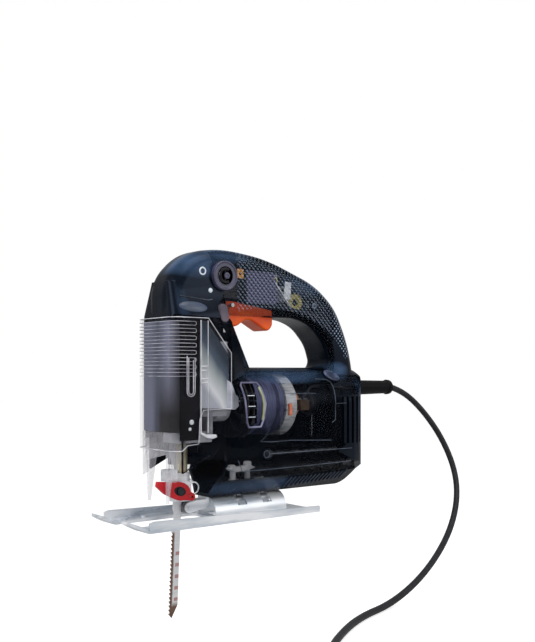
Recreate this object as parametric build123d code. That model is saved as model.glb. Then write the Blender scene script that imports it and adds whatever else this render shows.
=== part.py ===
from build123d import *
import os
from math import acos, cos, pi, radians, sin, tan

# A mains jigsaw in millimetres. +X runs back towards the cord, -X is the cutting direction,
# +Y is the right side and +Z is up. The origin is where the blade crosses the shoe's sole plane.

# ---------------------------------------------------------------- driving dimensions
WALL = 2.4  # thickness of the moulded shells
NOSE_FRONT = -17.3  # front face of the nose column
NOSE_HALF = 23.2  # half width of the nose column
HANDLE_HALF = 16.8  # half width of the handle
BARREL_R = 29.5  # radius of the motor barrel
MOTOR_Z = 84.0  # height of the motor's axis
BODY_FLOOR = 16.8  # underside of the body
BODY_REAR = 172.0  # rear end of the body
TILT_Z = 3.0  # height of the axis that the shoe tilts about
SADDLE_R = 13.2  # outer radius of the tilt saddle
SOLE_THICK = 1.8  # shoe plate
SOLE_HALF = 33.0  # half width of the shoe
SOLE_FRONT, SOLE_REAR = -43.0, 112.0
GAP_HALF = 14.0  # half width of the slot between the shoe's two prongs
TOOTH_MODULE = 0.75
PINION_TEETH, GEAR_TEETH = 9, 46
CRANK = 9.0  # crank radius, half the stroke
PLUNGER_X = 3.0  # axis of the plunger
PLUNGER_R = 5.0
GUARD_HALF = 25.6  # half width of the clear dust guard
GUARD_FRONT = -20.0
GUARD_LOW, GUARD_HIGH = 54.0, 149.0
PRONG_LOW = 15.6  # tips of the finger guard's prongs, clear of the tilted shoe
CORD_R = 2.6
CORD_Z = 96.5  # height at which the cord leaves
CORD_EXIT_X = 226.0  # end of the cord guard
FLOOR_Z = -71.0  # the surface that the free cord lies on, level with the blade's tip
RUN = 0.05  # radial clearance of a running fit
FAN_BLADES, ARMATURE_SLOTS, COMMUTATOR_BARS = 11, 12, 24

GEAR_Z = MOTOR_Z + TOOTH_MODULE * (PINION_TEETH + GEAR_TEETH) / 2
CASE_X = (18.5, 31.0)  # front and back of the gear case's main wall
ROLLER_R = 4.4
BLADE_BACK = 3.7  # the blade's straight back edge
ROLLER_X = BLADE_BACK + ROLLER_R - 0.5  # the roller's groove takes the blade's back
ROLLER_Z = 9.8
DIAL = (29.9, 181.6)
DIAL_R = 11.0
TRIGGER_PIVOT = (41.0, 160.5)
CLAMP_Z = (15.0, 36.0)
LEVER_PIVOT = (-4.0, 23.4)
TILT_SCREWS = (52.0, 76.0)  # X of the two screws that clamp the shoe
HOUSING_SCREWS = [(10.7, 184.4), (120.3, 163.3), (-10.0, 113.0), (60.0, 30.0), (146.0, 31.0),
                  (143.0, 105.5)]
CORD_ROUTE = [
    (CORD_EXIT_X, 0, CORD_Z), (241, -1, 93), (262, -6, 76), (279, -15, 50), (284, -27, 20), (270, -41, -6),
    (240, -55, -32), (192, -71, -54), (146, -79, -68.4), (97, -91, -68.4), (48, -119, -68.4),
    (14, -147, -68.4), (-5.5, -166.5, -68.4),
]
COIL_AT = (-5.0, -200.0)  # centre of the coiled part of the cord
COIL_R = 26.0  # mid radius of the coil
COIL_SIDE = 17.0  # width and height of its bundle of three by three turns
COIL_STEP = 5.6  # from one turn to the next
PLUG_X = (30.0, 74.0)
PLUG_Y = COIL_AT[1] - COIL_R - COIL_STEP
PLUG_Z = FLOOR_Z + COIL_SIDE / 2
KEY_START = (62.0, -27.5, 48.0)  # the stored hex key runs back from here
KEY_LENGTH = 72.0
KEY_R = 1.9
RIB_HOLE = (-12.0, 98.5)  # (Y, Z) where the brush lead passes the rear ribs


# ---------------------------------------------------------------- small helpers
def box(x, y, z):
    """A box from three (low, high) pairs."""
    return Pos((x[0] + x[1]) / 2, (y[0] + y[1]) / 2, (z[0] + z[1]) / 2) * Box(
        x[1] - x[0], y[1] - y[0], z[1] - z[0]
    )


def rod_x(x, y, z, r):
    """A cylinder along X from x[0] to x[1]."""
    return Pos((x[0] + x[1]) / 2, y, z) * Rot(0, 90, 0) * Cylinder(r, x[1] - x[0])


def rod_y(y, x, z, r):
    """A cylinder along Y from y[0] to y[1]."""
    return Pos(x, (y[0] + y[1]) / 2, z) * Rot(90, 0, 0) * Cylinder(r, y[1] - y[0])


def rod_z(z, x, y, r):
    """A cylinder along Z from z[0] to z[1]."""
    return Pos(x, y, (z[0] + z[1]) / 2) * Cylinder(r, z[1] - z[0])


def side(sketch, y):
    """Extrudes a sketch drawn as (X, Z) from y[0] to y[1]."""
    return extrude(Plane((0, y[1], 0), x_dir=(1, 0, 0), z_dir=(0, -1, 0)) * sketch, y[1] - y[0])


def front(sketch, x):
    """Extrudes a sketch drawn as (Y, Z) from x[0] to x[1]."""
    return extrude(Plane((x[0], 0, 0), x_dir=(0, 1, 0), z_dir=(1, 0, 0)) * sketch, x[1] - x[0])


def plan(sketch, z):
    """Extrudes a sketch drawn as (X, Y) from z[0] to z[1]."""
    return extrude(Plane((0, 0, z[0])) * sketch, z[1] - z[0])


def polygon(*points):
    return make_face(Polyline(*points, close=True))


def only(shape):
    """The one solid of a shape, or all of them as a compound."""
    solids = shape.solids()
    return solids[0] if len(solids) == 1 else Compound(solids)


PARTS = {}


def part(name, *shapes):
    """Keeps one node, as a solid or as a group of separate solids."""
    solids = [s for shape in shapes for s in shape.solids()]
    PARTS[name] = solids[0] if len(solids) == 1 else Compound(children=solids)
    return PARTS[name]


# ---------------------------------------------------------------- housing
def smooth(points, share=0.45):
    """A path through runs and tangent arcs, each arc as large as its two runs allow, and its radii."""
    radii = []
    for before, at, after in zip(points, points[1:], points[2:]):
        run_in, run_out = Vector(at) - Vector(before), Vector(after) - Vector(at)
        half_turn = radians(run_in.get_angle(run_out)) / 2
        radii.append(share * min(run_in.length, run_out.length) / tan(half_turn))
    return FilletPolyline(*points, radius=radii), radii


def outer_outline():
    """The side view of the whole housing, without the hand opening."""
    over = [(NOSE_FRONT, BODY_FLOOR), (NOSE_FRONT, 176.8), (4.7, 198.8), (35.2, 203), (75.9, 198.8),
            (125.9, 181.6), (148.2, 164.1), (163.8, 133.6), (BODY_REAR, 93.5), (BODY_REAR, 58),
            (166, 30), (156, BODY_FLOOR), (140, BODY_FLOOR)]
    return make_face([smooth(over)[0], Line((140, BODY_FLOOR), (NOSE_FRONT, BODY_FLOOR))])


def hand_opening():
    """The side view of the gap under the handle."""
    round_rear = [(92, 113.4), (136.5, 113.4), (139.6, 118.5), (135, 132), (121, 146.5), (104, 152.6),
                  (70, 152.6)]
    rest = Polyline((70, 152.6), (37, 152.6), (33.5, 146), (56, 113.4), (92, 113.4))
    return make_face([smooth(round_rear)[0], rest])


def mouth():
    """The side view of the opening that the blade clamp works in."""
    return polygon((-30, 0), (-30, 67), (-9.8, 67), (-9.8, 37), (13, 45), (22, 53.5), (27.5, 52),
                   (28.5, 44), (24.5, 29), (17.5, 0))


def body_section(inset):
    """The front view of the body: a round barrel on a keel whose flanks clear the tilted shoe."""
    r = BARREL_R - inset
    keel = [(9.5 - inset * 0.5, BODY_FLOOR + inset), (18.3 - inset * 0.8, 29 + inset * 0.6),
            (r, 38.5 + inset * 0.6)]
    right = Polyline((0, BODY_FLOOR + inset), *keel, (r, MOTOR_Z))
    arc = CenterArc((0, MOTOR_Z), r, 0, 180)
    left = Polyline((-r, MOTOR_Z), *[(-y, z) for y, z in reversed(keel)], (0, BODY_FLOOR + inset))
    return make_face([right, arc, left])


def rounded_plan(half, corners, radius):
    """A plan mirrored about the X axis from half of its points, with some corners rounded."""
    sketch = polygon(*half, *[(x, -y) for x, y in reversed(half)])
    at = [v for v in sketch.vertices() if any(abs(v.X - x) < 0.01 for x in corners)]
    return fillet(at, radius)


def body_form(inset):
    """The barrel and the keel, with a rounded rear."""
    nose, barrel, rear = NOSE_HALF - inset, BARREL_R - inset, BODY_REAR - inset
    half = [(14 + inset, nose), (31.8, nose), (37, barrel), (rear, barrel)]
    shape = plan(rounded_plan(half, [rear], 20 - inset), (0, 130))
    return shape & front(body_section(inset), (-30, 200))


def nose_form(inset):
    """The wide column that the guard slides on, drawn in at its top to meet the handle."""
    face, nose = NOSE_FRONT + inset, NOSE_HALF - inset
    low = rounded_plan([(face, nose), (33, nose), (62, 12)], [face], 7 - inset)
    high = rounded_plan([(face + 2, 14), (33, 14), (56, 10)], [face + 2], 5)
    column = plan(low, (BODY_FLOOR, 151 - inset))
    cap = loft([Plane((0, 0, 151 - inset)) * low, Plane((0, 0, 176)) * high], ruled=True)
    slope = polygon((face, 34), (face, 190), (30 - inset, 190), (30 - inset, 151), (34.2 - inset, 146),
                    (56 - inset, 113.4), (62 - inset, 104), (62 - inset, 60), (26, 55))
    return (column + cap) & side(slope, (-40, 40))


def grip_form(inset, outline, gap, round_outside, round_gap):
    """The D-shaped handle, with its edges rounded."""
    half = HANDLE_HALF - inset
    upper = polygon((-40, 100), (-40, 220), (200, 220), (200, 60), (139, 60), (120, 100))
    shape = side((outline - gap) & upper, (-half, half))
    flat = [e for e in shape.edges() if abs(abs(e.center().Y) - half) < 0.01]
    around = [e for e in flat if in_gap(e.center())]
    outside = [e for e in flat if on_outside(e.center())]
    shape = fillet(around, round_gap)
    outside = [e for e in shape.edges()
               if abs(abs(e.center().Y) - half) < 0.01 and on_outside(e.center())]
    return fillet(outside, round_outside)


def in_gap(c):
    return 34 < c.X < 142 and 113.5 < c.Z < 160


def on_outside(c):
    return c.X < NOSE_FRONT + WALL + 0.1 or c.Z > 165 or c.X > 145 and c.Z > 62


def housing_form(inset, round_outside, round_gap):
    """The housing's outer form (inset 0) or the form of its cavity."""
    outline, gap = outer_outline(), hand_opening()
    if inset:
        outline, gap = offset(outline, -inset), offset(gap, inset)
    body = body_form(inset) & side(outline, (-40, 40))
    nose = nose_form(inset) & side(outline - gap, (-40, 40))
    grip = grip_form(inset, outline, gap, round_outside, round_gap)
    return only(body + nose + grip)


def louvres():
    """The side windows over the fan, each crossed by thin bars, and the slots at the rear."""
    cuts = []
    for y in ((-40, -18), (18, 40)):
        window = box((37, 51.5), y, (71.5, 101.5))
        for k in range(4):
            window -= box((36, 52), y, (76.8 + 5.6 * k, 77.8 + 5.6 * k))
        cuts += window.solids()
        cuts += [box((139 + 5.5 * k, 141.6 + 5.5 * k), y, (52, 90)) for k in range(5)]
    return cuts


def key_channel():
    """The channel in the left side that holds the hex key, with a round pocket for its head."""
    x, y, z = KEY_START
    depth = (-40, y + KEY_R + 0.1)
    channel = box((x, x + KEY_LENGTH + 1), depth, (z - KEY_R - 0.15, z + KEY_R + 0.15))
    return [channel, rod_y(depth, x + 2, z, 4)]


def housing():
    outer, cavity = housing_form(0, 11, 6), housing_form(WALL, 8.6, 3.6)
    shell = outer - cavity
    motor_ribs = [cavity & box((x, x + 2.4), (-40, 40), (50, 112)) for x in (62, 76, 126.5, 129.5)]
    holes = [23.03, 23.03, 9.53, 9.53]
    for rib, hole in zip(motor_ribs, holes):
        shell += rib - rod_x((50, 140), 0, MOTOR_Z, hole)
    collar = cavity & box((160, 175), (-11, 11), (CORD_Z - 11, CORD_Z + 11))
    x, y, z = KEY_START
    shell += collar + (outer & box((x - 4, x + KEY_LENGTH + 3), (-40, y + KEY_R + 1.6), (z - 5.5, z + 5.5)))
    for x, z in HOUSING_SCREWS:
        shell += rod_y((-40, 40), x, z, 4.2) & cavity
    cuts = [side(mouth(), (-40, 40)), box((35, 86.5), (-9.6, 9.6), (140, 156.5)),
            rod_x((155, 180), 0, CORD_Z, 3.2), rod_x((163, 170), 0, CORD_Z, 7.6),
            rod_x((169, 180), 0, CORD_Z, 6.1)]
    cuts += louvres() + key_channel()
    cuts.append(rod_x((125, 134), *RIB_HOLE, 1.6))
    cuts += [rod_z((0, 30), x, 0, 2.9) for x in TILT_SCREWS]
    cuts += [rod_y((-9.1, 40), x, z, 1.65) for x, z in HOUSING_SCREWS]
    cuts += [rod_y((8, 40), x, z, 3.4) for x, z in HOUSING_SCREWS]
    for cut in cuts:
        shell -= cut
    left = shell & box((-60, 260), (-60, 0), (-60, 260))
    right = shell & box((-60, 260), (0, 60), (-60, 260))
    left -= rod_y((-30, -12), *DIAL, DIAL_R + 0.3)
    left -= side(lock_outline(0.25), (-30, -13))
    part("housing_left", biggest(left))
    part("housing_right", biggest(right))
    part("housing_screws", *[
        rod_y((-9, 8.5), x, z, 1.6) + rod_y((8, 10.5), x, z, 3.3)
        - box((x - 2.4, x + 2.4), (9.3, 11), (z - 0.5, z + 0.5)) for x, z in HOUSING_SCREWS])


def biggest(shape):
    return max(shape.solids(), key=lambda s: s.volume)


# ---------------------------------------------------------------- guards
def guard_plan(inset):
    half = [(GUARD_FRONT + inset, GUARD_HALF - inset), (40, GUARD_HALF - inset)]
    return rounded_plan(half, [GUARD_FRONT + inset], 8 - inset)


def dust_guard():
    """The clear shield that slides up and down on the nose."""
    height = (GUARD_LOW, GUARD_HIGH)
    wall = plan(guard_plan(0), height) - plan(guard_plan(1.9), (GUARD_LOW - 1, GUARD_HIGH + 1))
    outline = polygon((-30, GUARD_LOW), (-12, GUARD_LOW), (-7.5, GUARD_LOW + 3.6), (2, 58.4), (3, 76),
                      (6, 82.5), (31, 83.2), (31, 124), (10.5, GUARD_HIGH), (-30, GUARD_HIGH))
    wall &= side(outline, (-40, 40))
    for k in range(8):
        z = 108.4 + 5.2 * k
        band = plan(guard_plan(-1), (z - 1.3, z + 1.3)) - plan(guard_plan(0.9), (z - 2, z + 2))
        wall -= band & box((-40, -1), (-40, 40), (50, 160))
    for y in ((-30, -20), (20, 30)):
        for x in (-9.5, -4.0):
            wall -= box((x, x + 1.1), y, (93, 106))
        wall -= box((-9.5, -2.9), y, (92, 93.1))
    ribs = []
    for sign in (-1, 1):
        y = sorted((sign * (GUARD_HALF - 0.4), sign * (GUARD_HALF + 0.8)))
        ribs += [box((x, x + 1.2), y, (80, 146)) for x in (3.0, 9.2)]
        ribs += [box((3.6, 9.8), y, (z, z + 1.2)) for z in (101.5, 104.5, 110.5, 113.5)]
    for rib in ribs:
        wall += rib
    part("dust_guard", only(wall))


def finger_guard():
    """The clear channel in front of the blade, with two prongs that reach down to the shoe."""
    x0 = NOSE_FRONT + 0.1
    low = PRONG_LOW
    face = front(polygon((-20.4, 34), (-20.4, 66.5), (20.4, 66.5), (20.4, 34), (18.8, 47), (15.4, 52),
                         (13.4, low), (12.4, low), (11.6, 46), (-11.6, 51), (-12.4, low),
                         (-13.4, low), (-15.4, 52), (-18.8, 47)), (x0, x0 + 1.5))
    flange = polygon((x0, 34), (-13, 36), (-9.6, 50), (-9.6, 56), (-6, 56), (-6, 72), (-9.6, 72),
                     (-9.6, 66.5), (x0, 66.5))
    prong = polygon((x0, low), (-15.2, low), (-10, 50), (-10, 58), (x0, 58))
    shape = face
    for extra in (side(flange, (18.9, 20.4)), side(prong, (11.7, 13.1))):
        shape += extra
        shape += mirror(extra, about=Plane.XZ)
    part("finger_guard", only(shape))


# ---------------------------------------------------------------- gears
def gear_outline(teeth, at_angle):
    """An involute spur gear's outline with one tooth centred at at_angle degrees."""
    pressure, thin = radians(25), 0.1
    pitch_r = TOOTH_MODULE * teeth / 2
    base_r = pitch_r * cos(pressure)
    root_r, tip_r = pitch_r - 1.05 * TOOTH_MODULE, pitch_r + 0.8 * TOOTH_MODULE

    def half_angle(r):
        angle = acos(min(1, base_r / r))
        flank = (tan(pressure) - pressure) - (tan(angle) - angle)
        return (pi * TOOTH_MODULE / 4 - thin) / pitch_r + flank

    start = max(base_r, root_r)
    radii = [start + (tip_r - start) * k / 4 for k in range(5)]
    flank = [(r, half_angle(r)) for r in radii]
    flank = [(root_r, flank[0][1])] * (root_r < start) + flank
    points = []
    for tooth in range(teeth):
        middle = radians(at_angle) + 2 * pi * tooth / teeth
        points += [(r * cos(middle - a), r * sin(middle - a)) for r, a in flank]
        points += [(r * cos(middle + a), r * sin(middle + a)) for r, a in reversed(flank)]
    return polygon(*points)


def spur_gear(teeth, at_angle, z, x):
    return Pos(0, 0, z) * front(gear_outline(teeth, at_angle), x)


def gear_train():
    gear = spur_gear(GEAR_TEETH, -90 + 180 / GEAR_TEETH, GEAR_Z, (19.2, 26.4))
    gear -= rod_x((19, 21), 0, GEAR_Z, 14.5) - rod_x((19, 21), 0, GEAR_Z, 6)
    gear += rod_x((19.2, 22), 0, GEAR_Z - CRANK, 4)
    gear -= rod_x((10, 30), 0, GEAR_Z, 3 + RUN)
    for k in range(4):
        angle = radians(45 + 90 * k)
        gear -= rod_x((10, 30), 10.5 * cos(angle), GEAR_Z + 10.5 * sin(angle), 2.2)
    part("drive_gear", only(gear - rod_x((18, 24), 0, GEAR_Z - CRANK, 2.5)))
    part("crank_pin", rod_x((15.3, 24), 0, GEAR_Z - CRANK, 2.5))
    part("gear_axle", rod_x((17.4, 30.5), 0, GEAR_Z, 3))


def gear_case():
    """The die-cast frame that carries the gear's axle, the front bearing and the plunger's bushes."""
    x0, x1 = CASE_X
    low, high = 77.5, 126.5
    case = box((4, x1), (-20.4, 20.4), (low, high)) - box((-10, x0), (-17.9, 17.9), (low - 9, high + 9))
    case -= rod_x((x0 - 1, x1 - 3), 0, GEAR_Z, 18.6)
    case += box((-5, x1), (-20.4, 20.4), (high, high + 6)) - box((-9, 4), (11, 30), (0, 200)) - box(
        (-9, 4), (-30, -11), (0, 200))
    case += box((x0, x0 + 5), (-12, 12), (60, low)) + box((-5, x0 + 5), (-11, 11), (58, 66))
    case += rod_x((x1 - 1, 41), 0, MOTOR_Z, 11.5)
    case -= rod_x((10, 50), 0, MOTOR_Z, 4.9)
    case -= rod_x((34, 50), 0, MOTOR_Z, 9.53)
    case -= rod_x((10, 30.5), 0, GEAR_Z, 3.02)
    case -= rod_z((50, 70), PLUNGER_X, 0, 7.52) + rod_z((120, 140), PLUNGER_X, 0, 7.52)
    corners = [(y, z) for y in (-16.5, 16.5) for z in (low + 3.5, high - 3.5)]
    for y, z in corners:
        case -= rod_x((20, 40), y, z, 1.72)
    part("gear_case", only(case))
    part("gear_case_screws", *[
        rod_x((24, 33), y, z, 1.7) + rod_x((x1 + 0.02, 34), y, z, 3.2) for y, z in corners])
    bore = rod_z((50, 140), PLUNGER_X, 0, PLUNGER_R + RUN)
    part("plunger_bushes", *[rod_z(z, PLUNGER_X, 0, 7.5) - bore for z in ((57, 67), (125.5, 133.5))])


def plunger_set():
    part("plunger", rod_z((30, 142), PLUNGER_X, 0, PLUNGER_R) - rod_z((100, 143), PLUNGER_X, 0, 2.6))
    slot_half, pin_r = CRANK + 3, 2.5
    z = GEAR_Z - CRANK
    yoke = box((PLUNGER_X, 14.6), (-slot_half - 2.6, slot_half + 2.6), (z - pin_r - 3, z + pin_r + 3))
    yoke -= box((10.4, 20), (-slot_half, slot_half), (z - pin_r - 0.1, z + pin_r + 0.1))
    yoke -= rod_z((0, 200), PLUNGER_X, 0, PLUNGER_R)
    part("yoke", biggest(yoke))


# ---------------------------------------------------------------- blade and its clamp
def lean(shape):
    """Turns a shape with the blade, which leans forward towards its tip."""
    return Pos(0, 0, 20) * Rot(0, 2.6, 0) * Pos(0, 0, -20) * shape


def blade():
    tip, pitch, tooth = -70.6, 3.0, 1.5
    edge = -BLADE_BACK
    teeth = []
    count = int((4 - tip - 3) / pitch)
    for k in range(count):
        z = tip + 3 + pitch * k
        teeth += [(edge, z), (edge + tooth, z + 0.5)]
    outline = [(BLADE_BACK, 28), (BLADE_BACK, tip + 9), (-1.0, tip), *teeth, (edge + tooth, 6),
               (edge + 0.4, 9), (edge + 0.4, 28)]
    part("blade", lean(side(polygon(*outline), (-0.5, 0.5))))


def blade_clamp():
    x, z = LEVER_PIVOT
    body = rod_z(CLAMP_Z, 1, 0, 6.4) + rod_z(CLAMP_Z, PLUNGER_X, 0, 6.8)
    body += box((-11, -3), (-5, 5), (30, CLAMP_Z[1] + 2.5)) + box((-8, 8), (-7, -4.5), (18, 29.5))
    body -= lean(box((-3.9, 4.3), (-0.62, 0.62), (0, 29)))
    body -= rod_z((30, 50), PLUNGER_X, 0, PLUNGER_R + 0.01)
    body -= rod_y((-8, -2), x, z, 2.02)
    part("blade_clamp", only(body))
    part("clamp_pin", rod_y((-10.6, -2.2), x, z, 2) + rod_y((-11.4, -10.5), x, z, 2.6))


def lever_ring(r_long, r_short):
    return Rot(0, 0, -17) * Ellipse(r_long, r_short)


def clamp_lever():
    """The red lever beside the blade that frees the clamp."""
    px, pz = LEVER_PIVOT
    tab = polygon((-23.6, 28.2), (-22.8, 31.6), (-16, 31), (px + 2, pz + 5.5), (px - 3, pz - 6),
                  (-16.8, 22.2))
    arm = polygon((px, pz + 5), (8.2, 20.6), (5.6, 15.9), (px - 2, pz - 6.2))
    shape = tab + arm + Pos(px, pz) * lever_ring(9.4, 6.6) + Pos(6.6, 18.4) * Circle(2.7)
    lever = side(shape - Pos(6.6, 18.4) * Circle(1.1), (-10.2, -7.3))
    lever -= side(Pos(px, pz) * lever_ring(4.6, 3.0), (-11, -8.9))
    lever -= rod_y((-11, -7), px, pz, 2 + RUN)
    part("clamp_lever", only(lever))


def wire_spring():
    """The clamp's torsion spring: one ring of wire between two legs."""
    ring = Pos(10.6, -6.2, 24.3) * Rot(90, 0, 0) * Torus(4.2, 0.5)
    path = Polyline((10.6, -6.2, 28.5), (8.4, -6.2, 30), (6.5, -5, 33))
    leg = sweep(Plane(path @ 0, z_dir=path % 0) * Circle(0.5), path, transition=Transition.ROUND)
    part("wire_spring", only(ring + leg))


def roller_set():
    y_in, y_out = 4.1, 5.6
    arm = polygon((ROLLER_X, ROLLER_Z - 4), (24.8, 9.0), (24.8, 14.8), (14, 14.8), (ROLLER_X, ROLLER_Z + 4))
    arm += Pos(ROLLER_X, ROLLER_Z) * Circle(4)
    arm -= Pos(ROLLER_X, ROLLER_Z) * Circle(1.5 + 0.02)
    bracket = side(arm, (y_in, y_out)) + side(arm, (-y_out, -y_in))
    bracket += box((14.2, 24.8), (-y_out, y_out), (13.4, 14.8))
    bracket += box((22.2, 24.8), (-y_out, y_out), (14.8, BODY_FLOOR))
    part("roller_bracket", only(bracket))
    wheel = rod_y((-3.9, 3.9), ROLLER_X, ROLLER_Z, ROLLER_R)
    groove = rod_y((-0.85, 0.85), ROLLER_X, ROLLER_Z, 2 * ROLLER_R)
    wheel -= groove - rod_y((-2, 2), ROLLER_X, ROLLER_Z, ROLLER_R - 1.3)
    part("blade_roller", only(wheel - rod_y((-5, 5), ROLLER_X, ROLLER_Z, 1.5 + RUN)))
    part("roller_pin", rod_y((-6.1, 6.1), ROLLER_X, ROLLER_Z, 1.5))


# ---------------------------------------------------------------- shoe
def shoe():
    gap, half = GAP_HALF, SOLE_HALF
    plate = plan(polygon((SOLE_FRONT, -half), (SOLE_REAR, -half), (SOLE_REAR, half), (SOLE_FRONT, half)),
                 (0, SOLE_THICK))
    tip = side(polygon((SOLE_FRONT - 12, 6.0), (SOLE_FRONT - 11, 7.6), (SOLE_FRONT - 6, 5.4),
                       (SOLE_FRONT, SOLE_THICK), (SOLE_FRONT + 2, 0), (SOLE_FRONT - 1, 0.2),
                       (SOLE_FRONT - 7, 3.2)), (-half, half))
    flange = polygon((SOLE_FRONT, 0), (SOLE_REAR, 0), (SOLE_REAR, 4.6), (SOLE_FRONT + 4, 8.0),
                     (SOLE_FRONT, 7))
    shape = plate + tip
    outline = rounded_plan([(SOLE_FRONT - 12, half), (SOLE_REAR, half)], [SOLE_FRONT - 12], 6)
    shape &= plan(outline, (-1, 20))
    for y in ((half - SOLE_THICK, half), (-half, SOLE_THICK - half)):
        shape += side(flange, y)
    slot = rounded_plan([(-80, gap), (24, gap)], [24], 5)
    shape -= plan(slot, (-1, 20))
    shape -= plan(rounded_plan([(32, 9.5), (88, 9.5)], [32, 88], 4), (-1, 5))
    for x in (-33, -14):
        for y in (-23.5, 23.5):
            shape += rod_z((SOLE_THICK - 0.2, SOLE_THICK + 1), x, y, 4.2 if x < -20 else 2.6)
    part("shoe", only(shape))
    ring = rod_x((26, 94), 0, TILT_Z, SADDLE_R) - rod_x((20, 100), 0, TILT_Z, SADDLE_R - 1.8)
    ring &= box((20, 100), (-20, 20), (SOLE_THICK, 40))
    for x in TILT_SCREWS:
        ring -= front(polygon((0, TILT_Z), (-30, TILT_Z + 14), (-30, 60), (30, 60), (30, TILT_Z + 14)),
                      (x - 4.2, x + 4.2))
    part("tilt_saddle", only(ring))


def tilt_clamp():
    """The plate inside the body, the screws and the curved washers that hold the saddle."""
    base = BODY_FLOOR + WALL
    plate = box((42, 86), (-8, 8), (base, base + 2))
    for x in TILT_SCREWS:
        plate += rod_z((base + 1, base + 8), x, 0, 4.2)
        plate -= rod_z((0, 60), x, 0, 2.52)
    part("tilt_plate", only(plate))
    screws, washers = [], []
    for x in TILT_SCREWS:
        screws.append(rod_z((7, base + 10), x, 0, 2.5) + rod_z((4.6, 8), x, 0, 4.4))
        ring = rod_x((x - 6, x + 6), 0, TILT_Z, 11) - rod_x((x - 7, x + 7), 0, TILT_Z, 9.2)
        washers.append((ring & box((x - 6, x + 6), (-5.5, 5.5), (8, 30))) - rod_z((0, 60), x, 0, 2.6))
    part("tilt_screws", *screws)
    part("tilt_washers", *washers)


# ---------------------------------------------------------------- motor
def annulus(x, r_out, r_in):
    return rod_x(x, 0, MOTOR_Z, r_out) - rod_x((x[0] - 1, x[1] + 1), 0, MOTOR_Z, r_in)


def sector(x, r_out, r_in, middle, spread):
    """A piece of a ring about the motor's axis, spread degrees wide around middle."""
    a, b = radians(middle - spread / 2), radians(middle + spread / 2)
    m = radians(middle)
    wedge = polygon((0, 0), *[(2 * r_out * cos(t), 2 * r_out * sin(t)) for t in (a, m, b)])
    return annulus(x, r_out, r_in) & (Pos(0, 0, MOTOR_Z) * front(wedge, (x[0] - 1, x[1] + 1)))


def motor():
    stack_x = (54, 84)
    pockets = [sector((stack_x[0] - 2, stack_x[1] + 2), 20.4, 15.2, a, 26) for a in (45, 135, 225, 315)]
    stack = annulus(stack_x, 23, 15.4)
    for pocket in pockets:
        stack -= pocket
    part("field_stack", only(stack))
    coils = []
    for middle in (90, 270):
        coil = sector((50.6, 53.8), 20.2, 15.6, middle, 114) + sector((84.2, 91), 20.2, 15.6, middle, 114)
        for side_angle in (middle - 45, middle + 45):
            coil += sector((50.6, 91), 20.2, 15.6, side_angle, 24)
        coils.append(only(coil))
    part("field_coils", *coils)
    core = rod_x(stack_x, 0, MOTOR_Z, 14.9)
    for k in range(ARMATURE_SLOTS):
        turn = 360 / ARMATURE_SLOTS * (k + 0.5)
        a = radians(turn)
        core -= Pos(0, 0, MOTOR_Z) * Rot(turn, 0, 0) * Pos(69, 13.6, 0) * Box(40, 3.2, 1.3)
        core -= rod_x((50, 90), 10.6 * cos(a), MOTOR_Z + 10.6 * sin(a), 2.0)
    core -= rod_x((50, 90), 0, MOTOR_Z, 4.5)
    part("armature_core", only(core))
    part("armature_windings", annulus((50, 53.9), 13.2, 4.5), annulus((84.1, 95.8), 13.2, 4.5))
    bars = annulus((96, 110), 11, 4.5)
    for k in range(COMMUTATOR_BARS):
        bars -= Pos(0, 0, MOTOR_Z) * Rot(360 / COMMUTATOR_BARS * k, 0, 0) * Pos(104, 11, 0) * Box(14, 1.6, 0.5)
    part("commutator", only(bars))
    shaft = rod_x((40.4, 125.5), 0, MOTOR_Z, 4.5)
    shaft += rod_x((26.6, 40.5), 0, MOTOR_Z, 3) + rod_x((125, 133.5), 0, MOTOR_Z, 3)
    shaft += spur_gear(PINION_TEETH, 90, MOTOR_Z, (19.4, 27.2))
    part("armature_shaft", only(shaft))
    fan = annulus((47, 48.6), 24.5, 4.5) + annulus((41.5, 48), 8, 4.5)
    fan_blade = Pos(44.6, 15.6, 0) * Rot(0, 0, 14) * Box(5, 16.4, 1.1)
    for k in range(FAN_BLADES):
        fan += Pos(0, 0, MOTOR_Z) * Rot(360 / FAN_BLADES * k, 0, 0) * fan_blade
    part("fan", only(fan))
    bearings = []
    for x in ((34.2, 40.2), (126.4, 132.4)):
        grooves = annulus((x[0] - 1, x[0] + 0.8), 7.6, 4.9) + annulus((x[1] - 0.8, x[1] + 1), 7.6, 4.9)
        bearings.append(annulus(x, 9.5, 3 + RUN) - grooves)
    part("motor_bearings", *bearings)
    holders, brushes, springs = [], [], []
    for sign in (-1, 1):
        holder = box((98.5, 107.5), (12, 25.5), (MOTOR_Z - 4, MOTOR_Z + 4))
        holder -= box((100, 106), (11, 24.5), (MOTOR_Z - 2.6, MOTOR_Z + 2.6))
        brush = box((100.05, 105.95), (11.3, 18.5), (MOTOR_Z - 2.5, MOTOR_Z + 2.5))
        spring = spiral(1.7, 0.3, 5.0, 4)
        spring = Pos(103, 19.1, MOTOR_Z) * Rot(-90, 0, 0) * spring
        for kept, shape in ((holders, holder), (brushes, brush), (springs, spring)):
            kept.append(shape if sign > 0 else mirror(shape, about=Plane.XZ))
    part("brush_holders", *holders)
    part("carbon_brushes", *brushes)
    part("brush_springs", *springs)
    baffle = annulus((51, 53.4), 26.6, 21.5)
    part("fan_baffle", only(baffle & box((0, 100), (-27, 27), (60, 108))))


def spiral(radius, wire, height, turns):
    """A coil spring standing on the plane z = 0."""
    path = Helix(height / turns, height, radius)
    return sweep(Plane(path @ 0, z_dir=path % 0) * Circle(wire), path, is_frenet=True)


# ---------------------------------------------------------------- controls
def lock_outline(grow):
    """The lock-on button, seen from the side."""
    return Pos(26.6, 153.4) * Rot(0, 0, 12) * SlotCenterToCenter(6 + 0.01, 8 + 2 * grow, rotation=90)


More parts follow.
